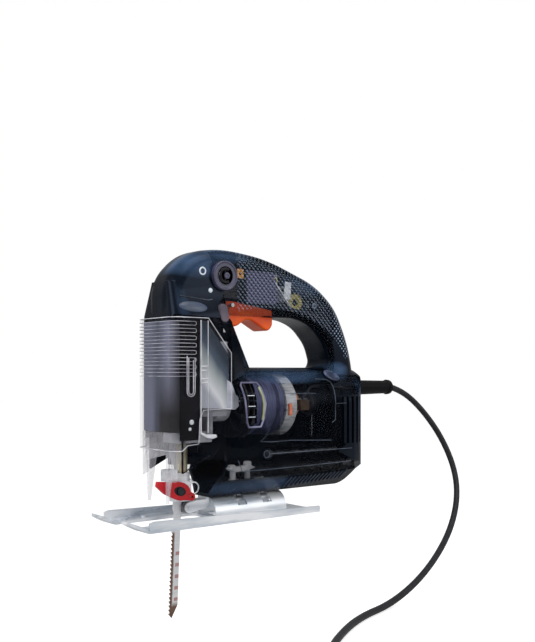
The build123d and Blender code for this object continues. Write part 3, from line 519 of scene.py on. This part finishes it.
def settle(piece, name, look, body, slot):
    """Puts a finished piece's place into its mesh, names it, dresses it and lets it ride."""
    bpy.context.view_layer.objects.active = piece
    piece.select_set(True)
    bpy.ops.object.transform_apply(location=True, rotation=True, scale=True)
    piece.name = piece.data.name = name
    piece.data.materials.clear()
    piece.data.materials.append(FINISHES[look])
    bpy.ops.object.shade_smooth_by_angle(angle=radians(35))
    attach(piece, body)
    deselect()


def join(pieces, *settings):
    """Joins pieces into one and settles it: name, finish, body and slot; the slot is not used."""
    deselect()
    for piece in pieces:
        piece.select_set(True)
    bpy.context.view_layer.objects.active = pieces[0]
    bpy.ops.object.join()
    settle(bpy.context.object, *settings)


def raw_wire(points, radius, closed=False, sides=2):
    """A round wire through points in millimetres, as a mesh."""
    deselect()
    bpy.ops.curve.primitive_bezier_curve_add()
    curve = bpy.context.object.data
    curve.splines.clear()
    spline = curve.splines.new("POLY")
    spline.points.add(len(points) - 1)
    for point, at in zip(spline.points, points):
        point.co = (*to_m(*at), 1)
    spline.use_cyclic_u = closed
    curve.bevel_depth = radius * MM
    curve.bevel_resolution = sides
    curve.use_fill_caps = not closed
    bpy.ops.object.convert(target="MESH")
    return bpy.context.object


def raw_plate(outline, y, thick, bevel=0.2):
    """A flat plate drawn as (X, Z) points, its middle at y."""
    deselect()
    bpy.ops.curve.primitive_bezier_curve_add()
    plate = bpy.context.object
    curve = plate.data
    curve.dimensions = "2D"
    curve.splines.clear()
    spline = curve.splines.new("POLY")
    spline.points.add(len(outline) - 1)
    for point, (x, z) in zip(spline.points, outline):
        point.co = (x * MM, z * MM, 0, 1)
    spline.use_cyclic_u = True
    curve.fill_mode = "BOTH"
    curve.extrude = (thick / 2 - bevel) * MM
    curve.bevel_depth = bevel * MM
    curve.bevel_resolution = 2
    curve.offset = -bevel * MM
    plate.location = (0, y * MM, 0)
    plate.rotation_euler = (radians(90), 0, 0)
    bpy.ops.object.convert(target="MESH")
    bpy.ops.object.transform_apply(location=True, rotation=True)
    return bpy.context.object


def raw_turned(profile, at, turn=(90, 0, 0), segments=40):
    """A turned piece: rings of (radius, height) joined from the first to the last, about an axis.
    With the usual turn the heights run towards -Y, from the point at."""
    deselect()
    (r0, h0), rest = profile[0], profile[1:]
    bpy.ops.mesh.primitive_circle_add(vertices=segments, radius=r0 * MM, fill_type="NGON",
                                      location=(0, 0, h0 * MM))
    piece = bpy.context.object
    bpy.ops.object.transform_apply(location=True)
    bpy.ops.object.mode_set(mode="EDIT")
    bpy.ops.mesh.select_all(action="SELECT")
    last_r, last_h = r0, h0
    for r, h in rest:
        bpy.ops.mesh.extrude_region_move(TRANSFORM_OT_translate={"value": (0, 0, (h - last_h) * MM)})
        scale = r / last_r
        bpy.ops.transform.resize(value=(scale, scale, 1), center_override=(0, 0, 0))
        last_r, last_h = r, h
    bpy.ops.mesh.select_all(action="SELECT")
    bpy.ops.mesh.normals_make_consistent(inside=False)
    bpy.ops.object.mode_set(mode="OBJECT")
    piece.rotation_euler = [radians(a) for a in turn]
    piece.location = to_m(*at)
    bpy.ops.object.transform_apply(location=True, rotation=True)
    return piece


def arc(centre, radius, start, end, steps):
    """Points of an arc in a plane of two coordinates."""
    angles = [radians(start + (end - start) * k / steps) for k in range(steps + 1)]
    return [(centre[0] + radius * cos(angle), centre[1] + radius * sin(angle)) for angle in angles]


# ---------------------------------------------------------------- clear guard
GUARD_HALF, GUARD_FRONT, GUARD_CORNER = 25.6, -20.0, 8.0
GUARD_TOP, GUARD_LOW = 149, 54
LOOPS, LOOP_PITCH, FIRST_LOOP_Z, LOOP_HALF, LOOP_END_X = 8, 5.2, 108.4, 1.35, -1.5
RIB_X = (3.6, 9.8)
SLOT_X, SLOT_Z = -4.8, 96


def round_front(grow=0.1, steps=6):
    """The guard's outer plan from its left side round the front to its right side."""
    corner = (GUARD_FRONT + GUARD_CORNER, -(GUARD_HALF - GUARD_CORNER))
    left = arc(corner, GUARD_CORNER + grow, 270, 180, steps)
    return left + [(x, -y) for x, y in reversed(left)]


def guard_edges():
    """The bright bar that runs round the guard's whole edge; its bright colour is a painted highlight of the
    clear edge.
    """
    rear = [(31, 83.2), (31, 124), (10.5, GUARD_TOP)]
    foot = [(-7.5, 57.6), (2, 58.4), (3, 76), (6, 82.5)]
    side = GUARD_HALF - 0.2
    upper = [(x, y, GUARD_TOP) for x, y in round_front(-0.2)]
    lower = [(x, y, GUARD_LOW) for x, y in reversed(round_front(-0.2))]
    ring = [(x, -side, z) for x, z in rear] + upper + [(x, side, z) for x, z in reversed(rear)]
    ring += [(x, side, z) for x, z in reversed(foot)] + lower + [(x, -side, z) for x, z in foot]
    join([raw_wire(ring, 0.3, closed=True)], "guard_edges", "edge_light", "dust_guard", "clear_plastic")


def guard_loops():
    """The finger grips: eight long loops moulded round the guard's front, drawn grey as a painted highlight
    on the clear plastic.
    """
    loops = []
    for k in range(LOOPS):
        z = FIRST_LOOP_Z + LOOP_PITCH * k
        upper = [(x, y, z + LOOP_HALF) for x, y in round_front()]
        lower = [(x, y, z - LOOP_HALF) for x, y in reversed(round_front())]
        right_end = [(x, GUARD_HALF + 0.1, high) for x, high in arc((LOOP_END_X, z), LOOP_HALF, 90, -90, 4)]
        left_end = [(x, -y, high) for x, y, high in reversed(right_end)]
        loops.append(raw_wire(upper + right_end + lower + left_end, 0.18, closed=True))
    join(loops, "guard_loops", "edge_grey", "dust_guard", "clear_plastic")


def guard_ribs():
    """Two upright ribs with short rungs on each flank, and the slot below the grips; their light colour is a
    painted highlight on the clear plastic.
    """
    wires = []
    for sign in (-1, 1):
        y = sign * (GUARD_HALF + 0.3)
        for x, low, radius in zip(RIB_X, (67, 66), (0.42, 0.32)):
            wires.append(raw_wire([(x, y, low), (x, y, GUARD_TOP - 1.8)], radius))
        wires += [raw_wire([(x, y, z) for x in RIB_X], 0.5) for z in (102.2, 105.2, 111.2, 114.2)]
        y = sign * (GUARD_HALF + 0.1)
        for half, top in ((3.4, 120), (2.0, 118.5)):
            bend = [(x, y, z) for x, z in arc((SLOT_X, SLOT_Z), half, 180, 360, 8)]
            wires.append(raw_wire([(SLOT_X - half, y, top + 1.5), *bend, (SLOT_X + half, y, top)], 0.28))
    join(wires, "guard_ribs", "edge_light", "dust_guard", "clear_plastic")


def guard_tabs():
    """The tongue below each flank, ending in a thick lip that a thumb pushes."""
    tabs, lips = [], []
    outline = [(2.6, 83), (15.2, 83.6), (12.4, 69), (16, 64.5), (15.5, 62.6), (9, 63.4), (2.8, 66.4)]
    lip = [(2.8, 67.2), (8, 65), (16.8, 64.6), (17.6, 62.6), (14, 61.6), (8, 62.6), (3.2, 65.4)]
    for sign in (-1, 1):
        tabs.append(raw_plate(outline, sign * (GUARD_HALF - 0.8), 1.0))
        lips.append(raw_plate(lip, sign * (GUARD_HALF - 0.2), 2.2, bevel=0.5))
    join(tabs, "guard_tabs", "clear_guard", "dust_guard", "clear_plastic")
    # the lips' white is a painted highlight on the clear plastic
    join(lips, "guard_lips", "edge_light", "dust_guard", "clear_plastic")


# ---------------------------------------------------------------- nose
NOSE_FRONT, NOSE_HALF, NOSE_CORNER = -17.3, 23.2, 7.0
NOSE_SKIN = NOSE_HALF + 0.22
LINER_LENGTH, LINER_MIDDLE_Z = 80.0, 106.8


def mouth_shade():
    """A dark block of painted shade behind the plunger's foot, standing in from the far shell."""
    mouth = raw_plate([(5, 40), (24, 40), (24, 73), (5, 73)], 15, 12)
    join([mouth], "mouth_shade", "deep_black", "housing", "black_plastic")


def nose_liner():
    """The curved liner of the nose's front, extruded upright from its plan; it carries the nose's painted
    reflection and painted shade.
    """
    corner = (NOSE_FRONT + NOSE_CORNER, -(NOSE_HALF - NOSE_CORNER))
    left = arc(corner, NOSE_CORNER + 0.2, 250, 180, 6)
    plan = left + [(x, -y) for x, y in reversed(left)] + [(NOSE_FRONT + NOSE_CORNER, NOSE_HALF + 0.2)]
    inner = [(x + 0.25, y * 0.985) for x, y in reversed(plan)]
    liner = raw_plate(plan + inner, 0, LINER_LENGTH, bevel=0.02)
    liner.rotation_euler = (radians(-90), 0, 0)
    liner.location = to_m(0, 0, LINER_MIDDLE_Z)
    bpy.ops.object.transform_apply(location=True, rotation=True)
    join([liner], "nose_liner", "nose_sheen", "housing", "grey_plastic")


def nose_sides():
    """On each side the bright gear cover, its silver carrying a painted highlight and painted shade, and,
    before it, a dark strip.
    """
    covers, shades = [], []
    cover = [(4.4, 84), (14, 83.4), (29.4, 83.2), (30.4, 122), (10, 147), (4.4, 147)]
    shade = [(-13, 61), (3.9, 61), (3.9, 147), (-13, 147)]
    for sign in (-1, 1):
        covers.append(raw_plate(cover, sign * NOSE_SKIN, 0.3, bevel=0.08))
        shades.append(raw_plate(shade, sign * NOSE_SKIN, 0.3, bevel=0.08))
    join(covers, "gear_covers", "graded_silver", "housing", "cast_alloy")
    join(shades, "nose_shades", "deep_black", "housing", "black_plastic")


def nose_trim():
    """The ledge over each bulge, and the screw and stud low on the near side."""
    line = [(-10, 18.4, 164.7), (4, 18.6, 163.5), (15.5, 18.9, 162.6), (18.5, 18.9, 163.4)]
    ledges = [raw_wire([(x, sign * y, z) for x, y, z in line], 0.55) for sign in (-1, 1)]
    join(ledges, "nose_ledges", "navy_edge", "housing", "smoked_shell")
    head = [(1.8, -0.3), (1.8, 0.5), (1.2, 0.9), (0.8, 0.9), (0.6, 0.5)]
    screw = raw_turned(head, (-3, -23.4, 74.1), segments=24)
    stud = raw_turned([(1.2, -0.3), (1.2, 0.4), (0.7, 0.6)], (-4.4, -23.4, 69.2), segments=16)
    join([screw, stud], "nose_screw", "bright_steel", "housing", "steel")


def nose_bulges():
    """A flat oval swelling on each cheek of the nose, drawn lighter navy as a painted reflection."""
    bulges = []
    for sign in (-1, 1):
        bulge = raw_turned([(7.2, 0), (6.6, 0.8), (4.4, 1.5), (1.2, 1.8)], (0, 0, 0), turn=(0, 0, 0))
        bulge.scale = (1.75, 0.6, 1)
        bulge.rotation_euler = (radians(-sign * 70), radians(2), 0)
        bulge.location = to_m(0.5, sign * 20.6, 156.9)
        bpy.ops.object.transform_apply(location=True, rotation=True, scale=True)
        bulges.append(bulge)
    join(bulges, "nose_bulges", "navy_cloud", "housing", "smoked_shell")


# ---------------------------------------------------------------- handle
HANDLE_SIDE = 16.8
COVER_Y, LEAD_Y = -13.9, -14.0
CHOKE_X, CHOKE_Z, CHOKE_TURNS = 109, 166, 14


def boss_ring(name, look, x, z, r):
    profile = [(r, -0.6), (r, 0.25), (r - 0.35, 0.5), (r - 1.0, 0.5), (r - 1.2, 0.1), (r - 1.3, -0.5)]
    ring = raw_turned(profile, (x, -HANDLE_SIDE, z))
    join([ring], name, look, "housing", "grey_plastic")


def handle_marks():
    """Rings round two screw bosses, and the dial's pointer."""
    boss_ring("boss_ring", "white_plastic", 11.2, 183.9, 3.1)
    boss_ring("rear_boss_ring", "blue_grey", 120.3, 163.3, 2.4)
    profile = [(1.9, -0.4), (1.7, 0.3), (1.0, 0.6), (0.3, 0.7)]
    pip = raw_turned(profile, (18.2, -HANDLE_SIDE, 170.1), segments=24)
    join([pip], "dial_mark", "white_plastic", "housing", "blade_white")


def switch_pieces():
    """The switch's woven cover, the capacitor's sleeve and the lead between them."""
    cover = [(53.6, 162.8), (82, 162.8), (85, 166), (82.6, 185.5), (79, 187.6), (53.6, 187.6)]
    join([raw_plate(cover, COVER_Y, 0.7)], "switch_cover", "lilac_weave", "housing", "grey_plastic")
    sleeve = [(90.6, 168), (97.6, 167), (98.4, 181), (92, 181.6)]
    join([raw_plate(sleeve, -13.7, 1.0, bevel=0.3)], "capacitor_sleeve", "foil", "housing", "steel")
    lead = [(82.0, LEAD_Y, 180.2), (83.0, LEAD_Y, 178.4), (97.5, LEAD_Y, 162), (98.6, LEAD_Y + 0.4, 161.2)]
    join([raw_wire(lead, 0.6)], "straight_lead", "foil", "housing", "steel")


def choke_turns():
    """The wire's hook at the switch, and its turns round the ring choke."""
    hook = [(82 + 0.8 * dx, LEAD_Y, 181.6 + dz) for dx, dz in arc((0, 0), 2.2, -60, 160, 8)]
    wires = [raw_wire(hook, 0.4)]
    over = ((3.0, 0, -5.6), (3.6, 0.05, -6.9), (5.2, 0.12, -7.5), (6.8, 0.2, -6.9), (7.4, 0.25, -5.6))
    for k in range(CHOKE_TURNS):
        a = 2 * pi * k / CHOKE_TURNS
        loop = [(CHOKE_X + r * cos(a + t), y, CHOKE_Z + r * sin(a + t)) for r, t, y in over]
        wires.append(raw_wire(loop, 0.5))
    join(wires, "choke_turns", "yellow_wire", "housing", "yellow_coil")


# ---------------------------------------------------------------- speed dial
DIAL_X, DIAL_Y, DIAL_Z = 29.9, -19.6, 181.6
DIAL_TICKS = 24


def dial_rim():
    """The dial's stepped face with a ring of ticks."""
    profile = [(11, -0.2), (11, 0.1), (10.6, 0.45), (9.9, 0.5), (9.5, 0.3), (9.2, -0.1), (7.6, -0.15),
               (7.4, 0.15), (6.9, 0.15), (6.7, -0.2)]
    parts = [raw_turned(profile, (DIAL_X, DIAL_Y, DIAL_Z), segments=56)]
    for k in range(DIAL_TICKS):
        a = 2 * pi * k / DIAL_TICKS
        tick = [(DIAL_X + r * cos(a), DIAL_Y - 0.45, DIAL_Z + r * sin(a)) for r in (9.95, 10.75)]
        parts.append(raw_wire(tick, 0.16, sides=1))
    join(parts, "dial_rim", "indigo_plastic", "speed_dial", "grey_plastic")


def dial_grip():
    """The swept bar and the cross bar that a finger turns, and the hub."""
    y = DIAL_Y + 0.1
    sweep = [(x, y, z) for x, z in arc((DIAL_X, DIAL_Z), 5.0, 60, 300, 18)]
    bar = [(DIAL_X - 0.6, y, DIAL_Z - 6.2), (DIAL_X - 0.3, y, DIAL_Z + 6.2)]
    join([raw_wire(sweep, 1.25, sides=3), raw_wire(bar, 0.7)], "dial_grip", "black_gloss", "speed_dial",
         "black_plastic")
    profile = [(2.5, -0.2), (2.5, 0.5), (2.1, 0.75), (1.1, 0.75), (0.9, 0.3)]
    hub = raw_turned(profile, (DIAL_X + 1.2, DIAL_Y, DIAL_Z), segments=28)
    join([hub], "dial_hub", "indigo_plastic", "speed_dial", "grey_plastic")


# ---------------------------------------------------------------- motor barrel
BARREL_R, MOTOR_Z = 29.5, 84.0


def flank(x, z, proud=0.15):
    """A point on the left side of the barrel."""
    if z <= MOTOR_Z:
        return (x, -BARREL_R - proud, z)
    return (x, -sqrt(max((BARREL_R + proud) ** 2 - (z - MOTOR_Z) ** 2, 0)), z)


def along(points, proud=0.15, step=4.0):
    """A line drawn as (X, Z) points, laid on the barrel's left side."""
    line = []
    for (x0, z0), (x1, z1) in zip(points, points[1:]):
        count = max(1, int(sqrt((x1 - x0) ** 2 + (z1 - z0) ** 2) / step))
        line += [flank(x0 + (x1 - x0) * k / count, z0 + (z1 - z0) * k / count, proud) for k in range(count)]
    return line + [flank(*points[-1], proud)]


def fan_window():
    """The framed window over the fan, with three bars and the olive ring behind it."""
    outline = [(42.6, 72), (39.8, 100), (41.2, 102), (55.6, 102), (58, 98), (60, 86), (58.6, 76),
               (55.4, 69), (44, 68.8), (42.6, 72)]
    rim = raw_wire(along(outline, 0.1), 0.75, sides=3)
    join([rim], "window_frame", "lilac_frame", "housing", "grey_plastic")
    # the bars' white is a painted highlight on the louvres
    bars = [raw_wire(along([(43.6, z), (50, z)], 0.35), 0.3) for z in (76.4, 84.4, 92.4)]
    join(bars, "window_bars", "white_plastic", "housing", "grey_plastic")
    line = [(56.4, 98.6), (58, 92), (58.6, 86), (58.2, 79), (57.2, 74)]
    join([raw_wire(along(line, -0.2), 0.9, sides=3)], "window_band", "olive", "housing", "grey_plastic")


def panel_lines():
    """Fine moulded lines on the barrel: the rear panel, seams and the key's channel."""
    panel = [(116.6, 104.4), (128.2, 104), (131.4, 102), (132.4, 98.8), (131.6, 71.4), (128.2, 69.6)]
    brace = [(63.9, 67.8), (60.5, 61.6), (55, 57.8)]
    seam = [(55, 57.8), (66, 57.0), (84, 57.4), (127.6, 55.4)]
    upper_seam, rear_seam = [(78, 93.6), (112, 93.0)], [(132.4, 84.6), (144, 84.8)]
    channel, channel_end = [(64.4, 48), (150, 47.9)], arc((61, 48), 2.7, 0, 360, 14)
    lines = (panel, brace, seam, upper_seam, rear_seam, channel, channel_end)
    join([raw_wire(along(line), 0.22) for line in lines], "panel_lines", "blue_grey", "housing",
         "smoked_shell")


def flank_scoop():
    """The oval hollow where the handle's rear meets the barrel, drawn lighter navy as a painted highlight."""
    profile = [(6.4, -0.6), (6.4, 0.3), (5.6, 0.9), (4.6, 0.4), (3.4, -0.8), (1.0, -1.2)]
    scoop = raw_turned(profile, (0, 0, 0), turn=(0, 0, 0))
    scoop.scale = (1.35, 0.85, 1)
    scoop.rotation_euler = (radians(48), radians(14), 0)
    scoop.location = to_m(137.6, -18.6, 107.2)
    join([scoop], "flank_scoop", "navy_sheen", "housing", "smoked_shell")


def motor_trim():
    """The foil band round the coils, and the copper joint on it."""
    profile = [(24.6, 0), (24.6, 10.4), (24.0, 11), (22.8, 11)]
    band = raw_turned(profile, (0, 0, 0), turn=(0, 90, 0), segments=64)
    band.location = to_m(85, 0, MOTOR_Z)
    join([band], "motor_band", "foil", "housing", "steel")
    line = [(84.6, 85.6), (85.4, 81), (84.8, 76.4)]
    join([raw_wire(along(line, -0.9), 1.7, sides=4)], "motor_spark", "copper_glow", "housing", "copper")


def barrel_ends():
    """The dark baffles behind the louvres, and the cast boss that joins the gear case to the motor, its
    bright silver a painted highlight.
    """
    baffles = [raw_plate([(start, 49), (end, 49), (end, 93), (start, 93)], y, 0.8)
               for start, end, y in ((137, 155, 25.6), (153, 165, 21.5))]
    join(baffles, "vent_baffles", "deep_black", "housing", "black_plastic")
    boss = [(28, 105), (33, 101.5), (36.6, 93.4), (40.8, 89.6), (40.4, 85.6), (36.4, 82), (28, 82.4)]
    join([raw_plate(boss, -23.1, 1.0, bevel=0.45)], "bearing_boss", "boss_silver", "housing", "cast_alloy")


# ---------------------------------------------------------------- lever and keel
KEEL_LOW_Z, KEEL_KNEE_Z, KEEL_TOP_Z = 16.8, 29, 38.5
KEEL_LOW_HALF, KEEL_KNEE_HALF = 9.5, 18.3
KEEL_RIBS, KEEL_RIB_PITCH = 15, 4.2
BRIDGE_Y = -8


def lever_recess():
    """A flat dark oval round the lever's pivot: painted shade of its hollow."""
    lean = radians(-17)
    ring = []
    for k in range(32):
        u, v = 5.0 * cos(2 * pi * k / 32), 3.3 * sin(2 * pi * k / 32)
        ring.append((-4 + u * cos(lean) - v * sin(lean), 23.4 + u * sin(lean) + v * cos(lean)))
    recess = raw_plate(ring, -10.3, 0.3, bevel=0.1)
    join([recess], "lever_recess", "black_gloss", "clamp_lever", "black_plastic")


def tilt_bridge():
    """The bright clamp seen through the keel, above the shoe's screws."""
    outline = [(37.4, 37.2), (46, 33.4), (58, 34.4), (65.4, 36.2), (60, 38.6), (47, 37.4)]
    parts = [raw_plate(outline, BRIDGE_Y, 5, bevel=0.6)]
    head = [(3.2, 0), (3.2, 3.2), (2.6, 4.2), (1.2, 4.4)]
    stem = [(2.2, 0), (2.2, 6), (2.0, 7)]
    for x, z in ((44, 35), (59, 37)):
        parts.append(raw_turned(head, (x, BRIDGE_Y, z), turn=(0, 0, 0), segments=6))
    for x in (45, 59):
        parts.append(raw_turned(stem, (x, BRIDGE_Y, 28), turn=(0, 0, 0), segments=20))
    join(parts, "tilt_bridge", "bridge_silver", "housing", "steel")


def keel_half(z):
    """Half the keel's width: it widens up to the knee, and from there up to the barrel."""
    if z < KEEL_KNEE_Z:
        share = (z - KEEL_LOW_Z) / (KEEL_KNEE_Z - KEEL_LOW_Z)
        return KEEL_LOW_HALF + share * (KEEL_KNEE_HALF - KEEL_LOW_HALF)
    share = (z - KEEL_KNEE_Z) / (KEEL_TOP_Z - KEEL_KNEE_Z)
    return KEEL_KNEE_HALF + share * (BARREL_R - KEEL_KNEE_HALF)


def on_keel(sign, x, z, proud=0.1):
    """A point on one flank of the keel; sign is -1 for the left flank."""
    return (x, sign * (keel_half(z) + proud), z)


def keel_pieces():
    """Slanting ribs low on each flank, and the seam above them."""
    ribs, seams = [], []
    for sign in (-1, 1):
        for k in range(KEEL_RIBS):
            x = 92 + KEEL_RIB_PITCH * k
            low, high = 18.6 + 0.055 * KEEL_RIB_PITCH * k, 27.0 + 0.1 * k
            ribs.append(raw_wire([on_keel(sign, x, low), on_keel(sign, x + 1.6, (low + high) / 2, 0.3),
                                  on_keel(sign, x + 4.4, high)], 0.62))
        line = [(27.5, 46), (40, 36.2), (62, 36.0), (110, 36.4), (150, 37.4)]
        seams.append(raw_wire([on_keel(sign, x, z) for x, z in line], 0.3))
    join(ribs, "keel_ribs", "navy_edge", "housing", "smoked_shell")
    join(seams, "keel_seams", "blue_grey", "housing", "smoked_shell")


# ---------------------------------------------------------------- shell's opaque skin
# a rim's normal points less than this to the side, or more than this to the rear
RIM_SIDEWAYS, RIM_REARWARD = 0.55, 0.25
# over the trigger only faces that point this much to the rear stay; the joint's faces point this much inwards
TRIGGER_REARWARD, INWARD = 0.5, 0.9
# a face is hidden if a ray from this far above it, leaning from the left this much towards its normal, hits
LOOK_FROM, LOOK_LEAN = 0.3, 0.4
REAR_X, KEEL_Z = 142.0, 27.5
BROW_X, BROW_Z = 19, 150
TRIGGER_X, TRIGGER_Z = (37, 84), (143, 160)
SKIN_PROUD, SKIN_THICK = 0.06, 0.3


def wanted_on_skin(face, tree):
    """Whether a face of the left shell shows a rim, the tail, the keel or the brow from outside."""
    x, z = face.center.x / MM, face.center.z / MM
    outside = face.center + face.normal * LOOK_FROM * MM
    hidden = tree.ray_cast(outside, Vector((0, -1, 0)) + LOOK_LEAN * face.normal)[0] is not None
    rim = abs(face.normal.y) < RIM_SIDEWAYS or face.normal.x > RIM_REARWARD
    solid = rim or x > REAR_X or z < KEEL_Z or (x < BROW_X and z > BROW_Z)
    by_trigger = TRIGGER_X[0] < x < TRIGGER_X[1] and TRIGGER_Z[0] < z < TRIGGER_Z[1]
    over_trigger = by_trigger and face.normal.x < TRIGGER_REARWARD
    inside_joint = face.normal.y > INWARD
    return solid and not (hidden and x < REAR_X) and not over_trigger and not inside_joint


def shell_rims():
    """An opaque skin on the left shell's outer rims, tail and keel."""
    shell = NODES["housing_left"]
    rims = bpy.data.objects.new("shell_rims", shell.data.copy())
    bpy.context.collection.objects.link(rims)
    deselect()
    rims.select_set(True)
    bpy.context.view_layer.objects.active = rims
    bpy.ops.object.mode_set(mode="EDIT")
    bpy.ops.mesh.select_all(action="SELECT")
    bpy.ops.mesh.remove_doubles(threshold=0.001 * MM)
    bpy.ops.mesh.select_mode(type="FACE")
    bpy.ops.mesh.select_all(action="DESELECT")
    bpy.ops.object.mode_set(mode="OBJECT")
    corners = [vertex.co for vertex in rims.data.vertices]
    tree = BVHTree.FromPolygons(corners, [face.vertices[:] for face in rims.data.polygons])
    for face in rims.data.polygons:
        face.select = not wanted_on_skin(face, tree)
    bpy.ops.object.mode_set(mode="EDIT")
    bpy.ops.mesh.delete(type="FACE")
    bpy.ops.mesh.select_all(action="SELECT")
    bpy.ops.transform.shrink_fatten(value=SKIN_PROUD * MM)
    bpy.ops.object.mode_set(mode="OBJECT")
    thicken = rims.modifiers.new("thickness", "SOLIDIFY")
    thicken.thickness = SKIN_THICK * MM
    thicken.offset = -1
    bpy.ops.object.modifier_apply(modifier="thickness")
    settle(rims, "shell_rims", "shell_rim", "housing", "smoked_shell")


PIECES = (
    shell_rims, lever_recess, tilt_bridge,
    guard_edges, guard_loops, guard_ribs, guard_tabs,
    mouth_shade, nose_liner, nose_sides, nose_trim, nose_bulges,
    handle_marks, switch_pieces, choke_turns, dial_rim, dial_grip,
    fan_window, panel_lines, flank_scoop, motor_trim, barrel_ends, keel_pieces,
)


# ---------------------------------------------------------------- light and floor
FLOOR_Z = -71.5
# name, place, aim, size and power of each softbox, in metres and watts
SOFTBOXES = (
    ("softbox_over", (0.1, -0.35, 0.9), (0.07, 0, 0.1), 0.6, 3.2),
    ("softbox_left", (-0.75, -0.1, 0.5), (0.05, 0, 0.08), 0.5, 3.0),
    ("softbox_right", (0.6, -0.8, 0.45), (0.08, 0, 0.08), 0.5, 2.0),
)
AMBIENT, BACKDROP = 0.5, 1.0
FLOOR_SIZE, FLOOR_GLOW = 8, 0.66


def light_the_room():
    """A white backdrop that lights the room at half strength, and three softboxes."""
    world = bpy.data.worlds.new("studio")
    bpy.context.scene.world = world
    world.use_nodes = True
    tree = world.node_tree
    background = tree.nodes["Background"]
    paths = tree.nodes.new("ShaderNodeLightPath")
    seen = tree.nodes.new("ShaderNodeMath")
    seen.operation = "MAXIMUM"
    tree.links.new(paths.outputs["Is Camera Ray"], seen.inputs[0])
    tree.links.new(paths.outputs["Is Transmission Ray"], seen.inputs[1])
    strength = tree.nodes.new("ShaderNodeMapRange")
    strength.inputs[3].default_value = AMBIENT
    strength.inputs[4].default_value = BACKDROP
    tree.links.new(seen.outputs[0], strength.inputs[0])
    tree.links.new(strength.outputs[0], background.inputs["Strength"])
    background.inputs["Color"].default_value = (1, 1, 1, 1)
    for name, at, aim, size, power in SOFTBOXES:
        data = bpy.data.lights.new(name, "AREA")
        data.size = size
        data.energy = power
        lamp = bpy.data.objects.new(name, data)
        bpy.context.collection.objects.link(lamp)
        lamp.location = at
        lamp.rotation_euler = (Vector(aim) - Vector(at)).to_track_quat("-Z", "Y").to_euler()


def lay_floor():
    """A pale floor that glows a little towards the camera, so that it melts into the backdrop."""
    material, principled = make_material("pale_floor")
    set_values(principled, {"Roughness": 0.9, "Specular IOR Level": 0.1, "Emission Color": (1, 1, 1, 1)})
    colour = blend_colours(material, noise(material, 6.0), (0.68, 0.68, 0.68), (0.7, 0.7, 0.7))
    connect(material, colour, principled.inputs["Base Color"])
    paths = add_node(material, "LightPath")
    glow = calc(material, "MULTIPLY", paths.outputs["Is Camera Ray"], FLOOR_GLOW)
    connect(material, glow, principled.inputs["Emission Strength"])
    deselect()
    bpy.ops.mesh.primitive_plane_add(size=FLOOR_SIZE, location=(0, 0, FLOOR_Z * MM))
    floor = bpy.context.object
    floor.name = "floor"
    floor.data.materials.append(material)


bpy.context.scene.view_settings.view_transform = "Standard"
place_camera()
make_finishes()
lay_cord()
dress()
for make in PIECES:
    make()
lay_floor()
light_the_room()
